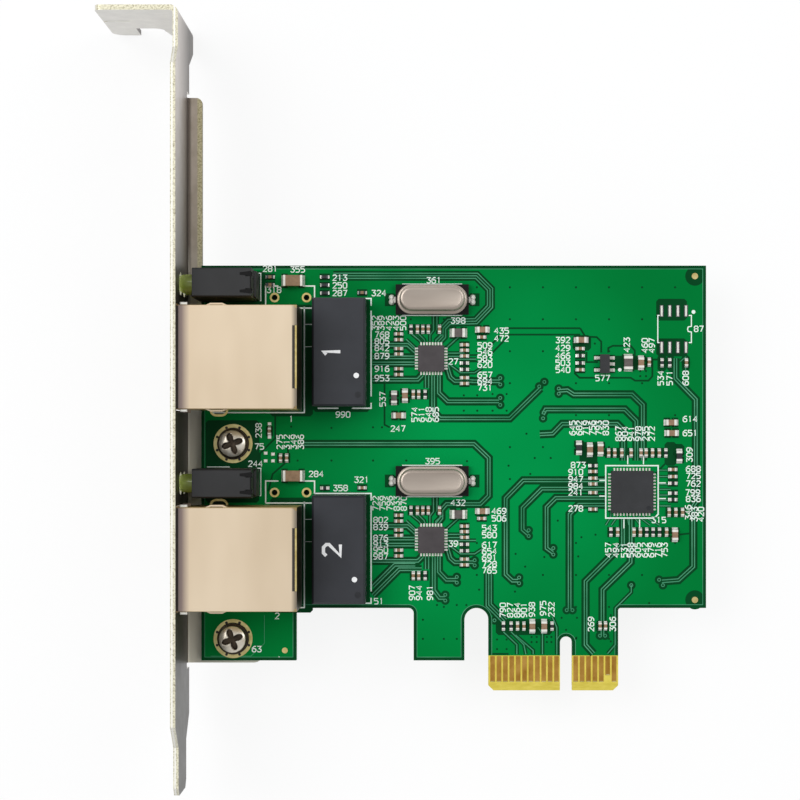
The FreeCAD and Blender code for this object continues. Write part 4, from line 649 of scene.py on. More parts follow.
# Tracks round a LAN chip: how many side by side, then points from the chip's centre.
LAN_ROUTES = (
    (2, (-2.4, 0.2), (-9.2, 0.2)),
    (2, (-2.4, -0.75), (-9.2, -0.75)),
    (2, (-2.2, 0.8), (-3.7, 2.15), (-9.2, 2.15)),
    (2, (-1.4, -2.6), (-2.1, -3.3), (-9.2, -3.3)),
    (1, (0.35, 6.9), (0.35, 4.4), (-0.2, 3.7), (-0.2, 2.4)),
    (1, (0.9, 6.9), (0.9, 5), (0.9, 4.4)),
    (1, (1.9, 3.9), (0.7, 2.9), (0.7, 2.4)),
    (1, (-3.1, 3.9), (-1.9, 2.9), (-1.4, 2.3)),
    (1, (-2.3, 4.2), (-1.1, 3), (-0.9, 2.3)),
    (1, (-3.9, 3), (-2.4, 1.6)),
    (2, (2.4, -0.9), (3, -2.9), (3.7, -3.5), (6.6, -3.5)),
    (1, (2.4, 0.85), (4, 0.85), (5.2, 0.9)),
    (1, (2.4, 0.35), (5.2, 0.35)),
    (1, (2.4, -0.1), (7, -0.1)),
    (1, (2.4, -0.55), (4.6, -2.2), (6.8, -2.2), (8, -1.4)),
    (1, (2.3, 1.6), (4.3, 3.4)),
    (1, (-0.4, -2.4), (-0.4, -4.6)),
    (1, (-0.9, -2.4), (-0.9, -4.6)),
)

# Strips that cross lie at slightly different heights.
STEPS = itertools.cycle(0.00017 * step for step in range(37))
MASK_END = 5.6                # how far down the board the solder mask reaches
TONGUE_LEFT = -14
VIA_INNER, VIA_OUTER = 0.17, 0.29
TRACK_WIDTH, TRACK_PITCH = 0.16, 0.4
CLEARANCES = {1: 0.62, 2: 1.3, 3: 1.55}       # by the number of tracks side by side
GAP_WIDTH = 0.28


def masked(spot):
    return spot[1] > MASK_END or spot[0] < TONGUE_LEFT


def masked_lines(loop):
    """The parts of a closed line that lie on the solder mask."""
    lines = [[]]
    for first, second in zip(loop, loop[1:] + loop[:1]):
        if masked(first):
            lines[-1].append(first)
        if masked(first) != masked(second):
            share = (MASK_END - first[1]) / (second[1] - first[1])
            lines[-1].append((first[0] + share * (second[0] - first[0]), MASK_END))
            if not masked(second):
                lines.append([])
    if masked(loop[0]) and masked(loop[-1]):
        lines[0] = lines.pop() + lines[0]
    return [line for line in lines if len(line) > 1]


def lan_routes():
    """The tracks round both LAN chips."""
    for _, low, high in at_ports("lan_chip_%s"):
        x, y = middle(low, high)
        for count, *line in LAN_ROUTES:
            yield [(x + across, y + up) for across, up in line], count


def cut(bare, line, width):
    """A clearance in the copper."""
    bare.ribbon(line, width, TOP, BARE + next(STEPS))


def add_tracks(bare, tracks, line, count):
    """A clearance in the copper with its tracks down the middle."""
    cut(bare, line, CLEARANCES[count])
    for number in range(count):
        shift = TRACK_PITCH * (number - (count - 1) / 2)
        tracks.ribbon(offset_line(line, shift), TRACK_WIDTH, TOP, TRACE + next(STEPS))


def add_short_track(bare, tracks, line):
    cut(bare, line, 0.42)
    tracks.ribbon(line, 0.14, TOP, TRACE + next(STEPS))


def inside(x, y, loop):
    """Whether a spot is on the board, by the crossings of a line to its right."""
    crossings = 0
    for (x0, y0), (x1, y1) in zip(loop, loop[1:] + loop[:1]):
        if (y0 > y) != (y1 > y) and x < x0 + (y - y0) * (x1 - x0) / (y1 - y0):
            crossings += 1
    return crossings % 2 == 1


def clear_of_parts(x, y, boxes):
    margin = 0.25
    return not any(low[0] - margin < x < high[0] + margin and low[1] - margin < y < high[1] + margin
                   for low, high in boxes)


def clear_of_routes(x, y):
    spot = Vector((x, y))
    for line in PAIRS + TRIPLES:
        for first, second in zip(line, line[1:]):
            start, run = Vector(first), Vector(second) - Vector(first)
            share = max(0.0, min(1.0, (spot - start).dot(run) / run.length_squared))
            if (spot - start - run * share).length < 0.85:
                return False
    return True


def make_tracks(bare, tracks, edge):
    # A dark rim follows the edge of the board, and a bright line beside it is a painted highlight
    # on the copper's edge.
    for line in masked_lines(edge):
        bare.ribbon(offset_line(line, 0.24), 0.46, TOP, BARE)
        tracks.ribbon(offset_line(line, 0.52), 0.09, TOP, TRACE)
    corner = 0.4
    for x0, y0, x1, y1 in BARE_AREAS:
        bare.prism([(x0 + corner, y0), (x1 - corner, y0), (x1, y0 + corner), (x1, y1 - corner),
                    (x1 - corner, y1), (x0 + corner, y1), (x0, y1 - corner), (x0, y0 + corner)],
                   TOP, BARE - 0.001 + next(STEPS) / 8)
    routes = [(line, count) for lines, count in ((PAIRS, 2), (TRIPLES, 3), (SINGLES, 1))
              for line in lines]
    for line, count in itertools.chain(routes, lan_routes()):
        add_tracks(bare, tracks, line, count)
    for side in (-0.5, 0.5):
        cut(bare, offset_line(WIDE, side), GAP_WIDTH)
    # From the bridge chip to the parts at its right and below it.
    for level in (34.5, 33.5, 32.3, 31.5, 30.6, 29.8, 28.9):
        add_short_track(bare, tracks, [(14.3, level), (16.4, level)])
    for start, end in ((7.0, 6.2), (8.0, 7.1), (9.6, 9.8), (10.6, 11.6), (11.4, 13.1),
                       (12.2, 14.6)):
        add_short_track(bare, tracks, [(start, 28.2), (start, 27.2), (end, 25.9)])
    # The edge of the copper area round the lower screw, drawn as a bright line: a painted
    # highlight.
    tracks.ribbon([(-47.2, 11.8), (-47.2, 7.4), (-49.3, 5.4), (-55.6, 5.4)], 0.09, TOP, TRACE)
    for line in GAPS:
        cut(bare, line, GAP_WIDTH)


def make_clearances(bare):
    """Bare mask round the leads and ends of the parts."""
    for _, low, high in at_ports("crystal_%s_leads"):
        y = (low.y + high.y) / 2
        for x in (low.x, high.x):
            bare.box((x - 0.75, y - 1.0, TOP), (x + 0.75, y + 1.0, BARE + next(STEPS)))
    for name, margin in (("small_capacitors", 0.3), ("small_resistors", 0.3),
                         ("medium_capacitor_ends", 0.32), ("medium_resistor_ends", 0.32),
                         ("inductor_ends", 0.3), ("ferrite_bead_ends", 0.32),
                         ("port_capacitor_ends", 0.3), ("crystal_1_leads", 0.4),
                         ("crystal_2_leads", 0.4), ("regulator_leads", 0.28)):
        for low, high in islands(name):
            bare.box((low[0] - margin, low[1] - margin, TOP),
                     (high[0] + margin, high[1] + margin, BARE + next(STEPS)))
    for box in islands("fiducials"):
        bare.disc(*middle(*box), 1.5, TOP, BARE + 0.005, 40)


def make_vias(bare, tracks, dots, edge):
    for x, y in VIAS:
        bare.disc(x, y, 0.68, TOP, BARE + next(STEPS))
        tracks.washer(x, y, VIA_INNER, VIA_OUTER, TOP, TRACE + next(STEPS), 16)
        bare.disc(x, y, 0.6, BOTTOM - 0.006, BOTTOM)
        tracks.washer(x, y, VIA_INNER, VIA_OUTER, BOTTOM - 0.013, BOTTOM, 16)
    # Dots that stitch the copper areas keep off the large parts and the tracks.
    low_parts = ("circuit_board", "bracket", "edge_contacts", "small", "medium", "port_cap",
                 "inductor", "footprint", "fiducial", "screw_pads")
    boxes = [node_box(name) for name in NODES if not name.startswith(low_parts)]
    grid = [(STITCH_FIRST[0] + STITCH_PITCH[0] * column, STITCH_FIRST[1] - STITCH_PITCH[1] * row)
            for column in range(STITCH_COLUMNS) for row in range(STITCH_ROWS)]
    for x, y in grid + list(STITCH_MORE):
        if inside(x, y, edge) and clear_of_parts(x, y, boxes) and clear_of_routes(x, y):
            dots.disc(x, y, VIA_INNER, TOP, BARE + 0.002, 10)
            dots.disc(x, y, VIA_INNER, BOTTOM - 0.006, BOTTOM, 10)


def make_circuit():
    bare = Build("mask_clearances", MASK_BARE, "solder_mask")
    tracks = Build("mask_tracks", MASK_TRACE, "solder_mask")
    dots = Build("via_dots", MASK_BARE, "solder_mask")
    edge = face_loops(TOP, 1)[0][0]
    make_tracks(bare, tracks, edge)
    make_clearances(bare)
    make_vias(bare, tracks, dots, edge)
    for piece in (bare, tracks, dots):
        piece.finish()


# ---------------------------------------------------------------- white print

DIGITS = {
    "0": [(0, 1), (0, 5), (1, 6), (3, 6), (4, 5), (4, 1), (3, 0), (1, 0), (0, 1)],
    "1": [(1, 5), (2, 6), (2, 0)],
    "2": [(0, 5), (1, 6), (3, 6), (4, 5), (4, 4), (0, 0), (4, 0)],
    "3": [(0, 6), (4, 6), (2, 3.6), (4, 2.6), (4, 1), (3, 0), (1, 0), (0, 1)],
    "4": [(3, 0), (3, 6), (0, 2), (4, 2)],
    "5": [(4, 6), (0, 6), (0, 3.6), (3, 3.6), (4, 2.6), (4, 1), (3, 0), (0, 0)],
    "6": [(4, 6), (2, 6), (0, 4), (0, 1), (1, 0), (3, 0), (4, 1), (4, 2.6), (3, 3.5), (0, 3.5)],
    "7": [(0, 6), (4, 6), (1.5, 0)],
    "8": [(1, 3.2), (0, 4), (0, 5), (1, 6), (3, 6), (4, 5), (4, 4), (3, 3.2), (1, 3.2),
          (0, 2.2), (0, 1), (1, 0), (3, 0), (4, 1), (4, 2.2), (3, 3.2)],
    "9": [(0, 0), (2, 0), (4, 2), (4, 5), (3, 6), (1, 6), (0, 5), (0, 3.5), (1, 2.6), (4, 2.6)],
}


def write_number(build, text, x, y, height, low, high, upright=True, stroke=0.15):
    """A number centred on a point, reading to the right or, if not upright, upwards."""
    unit = height / 6
    width = (5.6 * len(text) - 1.6) * unit
    for place, digit in enumerate(text):
        line = []
        for across, up in DIGITS[digit]:
            run = (across + 5.6 * place) * unit - width / 2
            over = up * unit - height / 2
            line.append((x + run, y + over) if upright else (x - over, y + run))
        build.ribbon(line, stroke, low, high)


# Numbers printed beside the parts. A row here is one x and the levels of its labels.
LEVEL_LABELS = (
    (-35.4, 64.6, 63.4, 62.2), (-29.3, 62.2), (-20.7, 64.2), (-16.9, 57.9), (-10.1, 56.3, 55.1),
    (-12.7, 54, 53, 52, 51, 49.4, 48.4, 47.4),
    (-28.8, 55.7, 54.65, 53.6, 52.35, 50.35, 48.9), (-34.9, 43.2), (-26.3, 41),
    (-39.1, 33.9), (-32, 33), (-35.3, 31.7), (-20.9, 35.9), (-16.9, 29.4),
    (-10.5, 28.1, 26.95), (-12, 25.45, 24.35, 22.8, 21.8, 20.8, 19.8, 18.8),
    (-29, 26.7, 25.6, 23.9, 22.9, 22, 21), (-48.6, 35.5), (-46.3, 66), (-45.7, 62.7),
    (-42, 65.9), (-0.5, 54.85, 53.6, 52.4, 51.3, 50.2), (5.7, 48.9), (19.4, 42.5, 40.3),
    (19.9, 34.7, 33.6, 32.4), (19.8, 31), (19.9, 30), (1.9, 35.3),
    (1.5, 34.2, 33.1, 32, 31, 28.5), (14.5, 26.7),
)
# Numbers that read upwards. A row here is one y and the places of its labels along x.
UPRIGHT_LABELS = (
    (57.5, -29.9, -28.9, -27.7, -26.6, -25.5), (45.6, -28.7), (43.2, -23.7, -22.6, -21.5, -20.4),
    (29.3, -29.8, -28.7, -27.6, -26.5, -25.4), (15.3, -24.1, -23, -21.3), (40.7, -48.1),
    (38.9, -44.8, -43.7, -42.6, -41.5), (54.1, 9.5), (54, 12.3, 13.4), (48.9, 14.8, 16.2, 18.7),
    (41.1, 1, 2.05, 3.1, 4.1, 5.1, 6.2), (40.2, 8.2, 9.2, 10.2, 11.3, 12.4, 13.4),
    (36.9, 19.3), (27.9, 19.1), (27.6, 20.1, 21.1),
    (22, 6.6, 7.8, 9.1, 10.1, 11.2, 12.3, 13.3, 14.4, 15.4), (12.6, -9.9, -8.75, -7.65, -6.6),
    (12.7, -5.35), (12.9, -3.6), (12.7, -2.3), (10.4, 3.9, 7.3),
)
# Two-digit numbers: x and y.
SHORT_LABELS = (
    (-17.65, 51.5), (-17.65, 23), (-29.3, 14), (-48.4, 6.5), (-48, 38.2), (20.75, 56.6),
)
LABEL_HEIGHT = 0.86

# Lines round a jack, its lights and the plated holes: width, then points from the jack's centre.
JACK_CENTRES = (51.7, 21.2)
JACK_PRINT = (
    (0.2, (-55.5, -8.2), (-40.95, -8.2), (-40.95, 8.35)),
    (0.14, (-47.9, 9.3), (-47.75, 9.3), (-47.75, 13.6), (-48.3, 13.6)),
    (0.14, (-56.2, 13.8), (-52.6, 13.8)),
    (0.2, (-47, 8.15), (-39.3, 8.15)),
    (0.2, (-47, 8.15), (-47, 11.6), (-45, 11.6)),
    (0.2, (-41.2, 11.6), (-39.35, 11.6), (-39.35, 9.6)),
    (0.1, (-40.95, 2.1), (-39.6, 2.1)),
    (0.1, (-40.95, 5.6), (-39.6, 5.6)),
)
# The frame of the empty eight-pin place.
EMPTY_FRAME = (
    ((14.7, 58.7), (14.35, 58.7), (14.35, 54.45), (14.7, 54.45)),
    ((19.2, 58.7), (19.6, 58.7), (19.6, 57), (19.1, 56.9), (19, 56.55), (19.1, 56.2),
     (19.6, 56.1), (19.6, 54.45), (19.2, 54.45)),
)


def print_labels(ink):
    numbers = (str(213 + 37 * step % 780) for step in itertools.count())
    for x, *levels in LEVEL_LABELS:
        for y in levels:
            write_number(ink, next(numbers), x, y, LABEL_HEIGHT, TOP, INK)
    for y, *places in UPRIGHT_LABELS:
        for x in places:
            write_number(ink, next(numbers), x, y, LABEL_HEIGHT, TOP, INK, upright=False)
    for step, (x, y) in enumerate(SHORT_LABELS):
        write_number(ink, str(27 + 12 * step), x, y, LABEL_HEIGHT, TOP, INK)
    write_number(ink, "1", -43.0, 42.5, 0.9, TOP, INK)
    write_number(ink, "2", -45.2, 11.7, 0.9, TOP, INK)


def make_silkscreen():
    ink = Build("silkscreen", SILK, "solder_mask")
    print_labels(ink)

    def draw(width, *line):
        ink.ribbon(line, width, TOP, INK)

    for jack_y, (width, *line) in itertools.product(JACK_CENTRES, JACK_PRINT):
        draw(width, *((x, jack_y + y) for x, y in line))
    # Round the transformers.
    for _, low, high in at_ports("transformer_%s_case"):
        right, down, up = -30.5, low.y - 0.25, high.y + 0.22
        draw(0.2, (low.x + 0.6, down), (-35.6, down))
        draw(0.2, (-33.5, down), (right, down), (right, low.y + 0.6))
        draw(0.2, (right, low.y + 1.6), (right, high.y - 1.7))
        draw(0.2, (right, high.y - 0.9), (right, up), (low.x + 0.1, up))
    # Above and below the crystals.
    for _, low, high in at_ports("crystal_%s_base"):
        for level in (low.y - 0.1, high.y + 0.1):
            draw(0.15, (low.x + 1.0, level), (high.x - 1.0, level))

    # Frame of the bridge chip, with one corner cut, and its pin marks.
    low, high = node_box("bridge_chip")
    left, right, down, up = low.x - 0.8, high.x + 0.8, low.y - 0.8, high.y + 0.8
    ink.ribbon([(left, down), (right - 0.6, down), (right, down + 0.6), (right, up),
                (left, up)], 0.2, TOP, INK, closed=True)
    for share in (0.42, 0.72):
        x, y = left + (right - left) * share, down + (up - down) * share
        draw(0.16, (x, up + 0.2), (x, up + 1.6))
        draw(0.16, (x - 0.6, down - 0.2), (x - 0.6, down - 1.6))
        draw(0.16, (left - 1.0, y), (left - 0.1, y))
        draw(0.16, (right + 0.1, y - 0.4), (right + 1.2, y - 0.4))

    for line in EMPTY_FRAME:
        draw(0.16, *line)
    for x, y, radius, count in ((19.93, 59.25, 0.3, 20), (8.4, 50.2, 0.28, 20),
                                (-44.9, 5.3, 0.08, 12)):
        ink.disc(x, y, radius, TOP, INK, count)
    ink.finish()


def make_case_marks():
    """White dots, flat dark discs for shallow dimples, and plain port numbers on the moulded cases.
    The discs' darker colour is painted shade of the dimples; their lower roughness is a smoother
    finish.
    """
    ink = Build("case_marks", WHITE_INK, "moulded_case")
    dimples = Build("case_dimples", DIMPLE_SHADE, "moulded_case")
    spots = ((2.74, -3.65, 2.98, -6.62), (2.46, -4.53, 2.98, -6.9))
    for port, (dot_x, dot_y, dimple_x, dimple_y) in zip(PORTS, spots):
        low, high = node_box("transformer_%s_case" % port)
        x, y = middle(low, high)
        ink.disc(x + dot_x, y + dot_y, 0.42, high.z, high.z + 0.02, 28)
        dimples.disc(x + dimple_x, y + dimple_y, 0.5, high.z, high.z + 0.01, 28)
        write_number(ink, port, x - 1.0, y, 2.6, high.z, high.z + 0.02, upright=False, stroke=0.5)
    low, high = node_box("bridge_chip")
    dimples.disc(high.x - 0.75, low.y + 0.8, 0.34, high.z, high.z + 0.01, 24)
    ink.finish()
    dimples.finish()


# ---------------------------------------------------------------- lands and solder

TEST_HOLE_ROWS = (61.5, 31.0)
TEST_HOLES_FROM = -46.5       # the test holes lie to the right of this
SCREW_HOLE_AREA = 6           # a hole with a larger area is a screw's


def make_hole_lands():
    """Gold rings round the plated holes, above and below, mask over the test holes, and dark films
    over the slots that are painted shade in the holes.
    """
    rings = Build("hole_lands", PALE_GOLD, "gold_plate")
    film = Build("tented_and_shaded_holes", MASK_AND_HOLE_SHADE, "solder_mask")
    for level, up in ((TOP, 1), (BOTTOM, -1)):
        low, high = (TOP, LAND) if up > 0 else (BOTTOM - 0.035, BOTTOM)
        for loop, area in face_loops(level, up)[1:]:
            if area > SCREW_HOLE_AREA:
                continue
            xs, ys = zip(*loop)
            x, y = sum(xs) / len(xs), sum(ys) / len(ys)
            across = max(xs) - min(xs)
            if across > 1.3 * (max(ys) - min(ys)):
                slot = stadium(x, y, 2.3, 1.5)
                rings.ribbon(offset_line(slot, -0.16, closed=True), 0.34, low, high, closed=True)
                # A dark film closes the slot: painted shade in the hole.
                film.prism(slot, min(level, level + up * 0.02), max(level, level + up * 0.02))
                continue
            radius = across / 2
            test_hole = min(abs(y - row) for row in TEST_HOLE_ROWS) < 0.4 and x > TEST_HOLES_FROM
            if up < 0 or test_hole:
                rings.washer(x, y, radius, radius + 0.3, low, high, 32)
            if up < 0 and test_hole:
                film.disc(x, y, radius + 0.1, BOTTOM - 0.01, BOTTOM + 0.02, 32)
    rings.finish()
    land = Build("test_land", PALE_GOLD, "gold_plate")
    land.disc(-44.0, 6.3, 0.45, TOP, LAND, 28)
    land.finish()
    film.finish()


def toe(build, low, high, axis, sign, run):
    """A hollow solder fillet down from one end of a part, on the axis 0 or 1."""
    near = high[axis] if sign > 0 else low[axis]
    foot, top = TOP + 0.04, TOP + (high[2] - TOP) * 0.7
    # How far out from the end, and at which level.
    section = ((-0.05, TOP), (run, TOP), (run, foot), (0.252 * run, foot + (top - foot) * 0.35),
               (0, top), (-0.05, top))
    build.stack([[(near + sign * out, side[1], z) if axis == 0 else (side[0], near + sign * out, z)
                  for out, z in section] for side in (high, low)])


def chip_details(name, body_material, slot, solder):
    """Detailed bodies and metal ends in place of a node of plain small blocks."""
    bodies = Build(name + "_bodies", body_material, slot)
    bright = Build(name + "_caps", BRIGHT_TIN, "tin")
    shaded = Build(name + "_shaded_caps", DULL_AND_SHADED_TIN, "tin")
    for low, high in islands(name):
        axis = 0 if high[0] - low[0] > high[1] - low[1] else 1
        cap = (high[axis] - low[axis]) * 0.27
        inset = [0.02, 0.02]
        inset[axis] = cap * 0.8
        bodies.box((low[0] + inset[0], low[1] + inset[1], low[2]),
                   (high[0] - inset[0], high[1] - inset[1], high[2] - 0.02), 0.03)
        # The caps of the parts in the bracket's shade get the darker tin: painted shade.
        ends = shaded if high[0] < -31 and low[1] > 60 else bright
        for sign in (-1, 1):
            cap_low, cap_high = list(low), list(high)
            if sign > 0:
                cap_low[axis] = high[axis] - cap
            else:
                cap_high[axis] = low[axis] + cap
            ends.box(cap_low, cap_high, 0.04)
            toe(solder, cap_low, cap_high, axis, sign, 0.22)
    bodies.finish(name)
    bright.finish()
    if shaded.points:
        shaded.finish()


def end_toes(body_name, end_name, solder):
    """Solder fillets at the outer faces of a node's metal ends."""
    centres = [middle(*box) for box in islands(body_name)]
    for low, high in islands(end_name):
        x, y = middle(low, high)
        near = min(centres, key=lambda spot: math.dist(spot, (x, y)))
        away = x - near[0], y - near[1]
        axis = 0 if abs(away[0]) > abs(away[1]) else 1
        toe(solder, low, high, axis, 1 if away[axis] > 0 else -1, 0.34)


def chip_lands(build, name, count, pitch, width, inner, outer):
    """The row of lands that shows along each side of a leadless chip."""
    low, high = node_box(name)
    centre = middle(low, high)
    for number, axis in itertools.product(range(count), (0, 1)):
        shift = centre[axis] + (number - (count - 1) / 2) * pitch
        for near, far in ((high[1 - axis] - inner, high[1 - axis] + outer),
                          (low[1 - axis] - outer, low[1 - axis] + inner)):
            corners = [(shift - width / 2, near), (shift + width / 2, far)]
            if axis:
                corners = [corner[::-1] for corner in corners]
            build.box((*corners[0], TOP), (*corners[1], LAND), 0.01)


def tails(name):
    """Where the pins of a node come out below the board."""
    pins = []
    for vertex in NODES[name].data.vertices:
        x, y, z = vertex.co / MM
        if z < BOTTOM - 0.6:
            for pin in pins:
                if abs(pin[0][0] - x) < 0.9 and abs(pin[0][1] - y) < 0.9:
                    pin.append((x, y))
                    break
            else:
                pins.append([(x, y)])
    return [[sum(values) / len(pin) for values in zip(*pin)] for pin in pins]


def make_solder():
    solder = Build("solder_joints", SOLDER, "tin", smooth=True)
    chip_details("small_capacitors", CERAMIC_TAN, "capacitor_ceramic", solder)
    chip_details("small_resistors", RESISTOR, "resistor_black", solder)
    for name in ("medium_capacitor", "medium_resistor", "port_capacitor", "inductor"):
        end_toes(name + "s", name + "_ends", solder)
    end_toes("ferrite_bead", "ferrite_bead_ends", solder)
    joints = Build("crystal_joints", BRIGHT_TIN, "tin", smooth=True)
    for x, y in ((-46.4, 41.75), (-46.4, 39.65), (-47.0, 37.15), (-47.0, 35.95), (-45.85, 37.0),
                 (-45.85, 35.95)):
        joints.box((x - 0.28, y - 0.24, TOP), (x + 0.28, y + 0.24, TOP + 0.09), 0.05)
    lands = Build("chip_lands", BRIGHT_TIN, "tin")
    for _, low, high in at_ports("crystal_%s_leads"):
        y = (low.y + high.y) / 2
        for x, shift in itertools.product((low.x + 0.32, high.x - 0.32), (-0.36, 0.36)):
            joints.lathe([(0.46, TOP), (0.42, TOP + 0.14), (0.2, TOP + 0.34)], x, y + shift, 16)
    for port, (name, wide) in itertools.product(PORTS, (
            ("jack_%s_contacts", 1.0), ("led_%s_leads", 1.0), ("jack_%s_shield", 1.5))):
        for x, y in tails(name % port):
            solder.lathe([(0.26 * wide, BOTTOM - 1.0), (0.33 * wide, BOTTOM - 0.7),
                          (0.5 * wide, BOTTOM - 0.3), (0.74 * wide, BOTTOM - 0.035)], x, y, 20)
    for name, *_ in at_ports("lan_chip_%s"):
        chip_lands(lands, name, 8, 0.45, 0.27, 0.2, 0.5)
    chip_lands(lands, "bridge_chip", 12, 0.5, 0.25, 0.3, 0.42)
    for low, high in islands("footprint_lands"):
        x = (low[0] + high[0]) / 2
        lands.box((x - 0.17, low[1] + 0.08, high[2] - 0.01),
                  (x + 0.17, high[1] - 0.08, high[2] + 0.1), 0.08)
    for low, high in islands("regulator_leads"):
        lands.box((low[0] - 0.2, low[1] - 0.05, TOP), (high[0] + 0.2, high[1] + 0.05, LAND), 0.01)
    for piece in (solder, joints, lands):
        piece.finish()


# ---------------------------------------------------------------- crystals, lamps and screws

def make_crystals():
    """A can with a rolled flange, an upright wall and a domed lid."""
    wall = 0.42
    for name, low, high in at_ports("crystal_%s_can"):
        x, y = middle(low, high)
        profile = [(0.0, low.z), (0.0, low.z + 0.28), (0.06, low.z + 0.34), (0.3, low.z + 0.34),
                   (wall, low.z + 0.42)]
        for step in range(7):
            angle = math.radians(15 * step)
            profile.append((wall + 0.55 * (1 - math.cos(angle)),
                            high.z - 0.5 + 0.5 * math.sin(angle)))
        profile += [(wall + 0.62, high.z - 0.01), (wall + 0.7, high.z - 0.03)]
        can = Build(name.replace("can", "shell"), CAN, "can_steel", smooth=True)
        can.stack([[(*spot, level) for spot in stadium(x, y, high.x - low.x - 2 * inset,
                                                       high.y - low.y - 2 * inset)]
                   for inset, level in profile])
        can.finish(name)


def make_lights():
    """Clear lamp bodies: a flange, a barrel and a round nose."""
    for port, place in itertools.product(PORTS, ("lower", "upper")):
        name = "led_%s_%s" % (port, place)
        low, high = node_box(name)
        radius = (high.y - low.y) / 2
        profile = []
        for step in range(9):
            angle = math.radians(90 * step / 8)
            profile.append((max(0.05, (radius - 0.05) * math.sin(angle)),
                            low.x + radius * 0.9 * (1 - math.cos(angle))))
        profile += [(radius - 0.05, high.x - 1.0), (radius, high.x - 0.95), (radius, high.x)]
        lens = Build(name + "_lens", LED_RESIN, "led_lens", smooth=True)
        lens.lathe(profile, (low.y + high.y) / 2, (low.z + high.z) / 2, 32, axis="x")
        lens.finish(name)


def make_screw_rings():
    """Round gold lands with eight vias, and the shaded seat of each screw."""
    rings = Build("screw_land_rings", PAD_GOLD, "gold_plate")
    seats = Build("screw_seats", GAP_SHADE, "gold_plate")
    for low, high in islands("screw_pads"):
        x, y = middle(low, high)
        rings.washer(x, y, 2.5, (high[0] - low[0]) / 2, TOP, high[2] + 0.02, 64)
        seats.washer(x, y, 1.6, 2.55, TOP, high[2] + 0.015, 64)
        for step in range(8):
            angle = math.tau * (step + 0.5) / 8
            seats.disc(x + 2.68 * math.cos(angle), y + 2.68 * math.sin(angle), 0.22, TOP,
                       high[2] + 0.03, 14)
    rings.finish()
    seats.finish()


def make_screws():
    """Cross-head screws: a domed head with a dished cross, over a short shank."""
    around, dome_rings, depth = 96, 30, 0.9
    for number, (low, high) in enumerate(islands("bracket_screws")):
        x, y = middle(low, high)
        radius, top, under = (high[0] - low[0]) / 2, high[2], TOP + 0.05
        rings = [[(*spot, level) for spot in circle(x, y, away, around)] for away, level in (
            (radius * 0.5, low[2]), (radius * 0.52, under), (radius, under),
            (radius, top - 1.05), (radius * 0.9, top - 1.0), (radius * 0.89, top - 0.5))]
        for ring in range(dome_rings, 0, -1):
            share = ring / dome_rings
            away = radius * 0.86 * share
            points = []
            for index, spot in enumerate(circle(x, y, away, around)):
                spoke = abs(math.cos(2 * (math.tau * index / around - 0.35))) ** 1.7
                dish = max(0.0, min(1.0, (radius * (0.27 + 0.48 * spoke) - away) / 0.2))
                dish = dish * dish * (3 - 2 * dish)
                points.append((*spot, top - 0.34 * share ** 3
                               - dish * (depth - 0.24 * away / radius)))
            rings.append(points)
        head = Build("screw_%d_head" % (number + 1), SCREW_HEAD, "screw_steel", smooth=True)
        head.stack(rings, tip=(x, y, top - depth))
        head.finish(*(("bracket_screws",) if number == 0 else ()))


# ---------------------------------------------------------------- jacks, lamp holders and leads

def make_shield_tops():
    """The jack's top sheet, with a notch over the springs and the edge of the back sheet; dark
    boxes in the notch and at the bracket end are painted shade.
    """
    for name, low, high in at_ports("jack_%s_shield"):
        jack = name.replace("shield", "")
        y, level, under = (low.y + high.y) / 2, high.z + 0.012, high.z - 0.3
        left, right = -59.1, high.x - 0.12
        half, notch, corner = 7.75, 4.75, 0.45
        rear = [(right - corner, half), (right, half - corner), (right, notch + 0.2),
                (right - 0.2, notch), (right - 0.55, notch)]
        sheet = Build(jack + "top", SHIELD, "shield_steel")
        sheet.prism([(left, y - half)] + [(x, y - side) for x, side in rear]
                    + [(x, y + side) for x, side in rear[::-1]] + [(left, y + half)], under, level)
        sheet.finish()
        # Dark boxes in the notch and at the bracket end of the sheet: painted shade in the gaps.
        shade_in_gaps = Build(jack + "shade_in_gaps", GAP_SHADE, "shield_steel")
        shade_in_gaps.box((right - 0.59, y - 4.85, under), (right - 0.02, y + 4.85, level - 0.008))
        shade_in_gaps.box((-59.4, y - half, under), (left + 0.02, y + half, level - 0.008))
        shade_in_gaps.finish()
        tabs = Build(jack + "front_tabs", BRIGHT_TIN, "shield_steel")
        for side in (-8.05, 8.05):
            tabs.box((-58.9, y + side - 0.22, high.z - 0.75), (-57.8, y + side + 0.22, under), 0.12)
        tabs.finish()
        back = Build(jack + "back_edge", PALE_GOLD, "shield_steel")
        back.box((right - 0.14, y - notch, high.z - 0.8), (right + 0.12, y + notch, level - 0.004))
        back.finish()


def make_holder_backs():
    """The low rear part of each lamp holder, and the dark slots in its top."""
    for name, low, high in at_ports("led_%s_housing"):
        holder = name.replace("housing", "holder")
        x, y = high.x, (low.y + high.y) / 2
        back = Build(holder + "_back", BLACK_PLASTIC, "black_plastic")
        back.box((x - 0.55, low.y + 0.15, TOP + 0.02), (x + 0.4, high.y - 0.15, 7.2), 0.3)
        slots = Build(holder + "_slots", SHADE, "black_plastic")
        for side in (-1, 1):
            rib, slot = y + side * 1.27, y + side * 1.33
            back.box((x - 0.9, rib - 0.4, 7.0), (x + 0.05, rib + 0.4, 9.3), 0.15)
            slots.prism([(x - 1.75, slot - 0.2), (x - 0.9, slot - 0.28), (x, slot - 0.4),
                         (x, slot + 0.42), (x - 0.8, slot + 0.3), (x - 1.75, slot + 0.2)],
                        high.z - 0.3, high.z + 0.012)
        slots.box((x - 0.2, y - 1.3, high.z - 0.3), (x, y + 1.3, high.z + 0.01))
        back.finish()
        slots.finish()


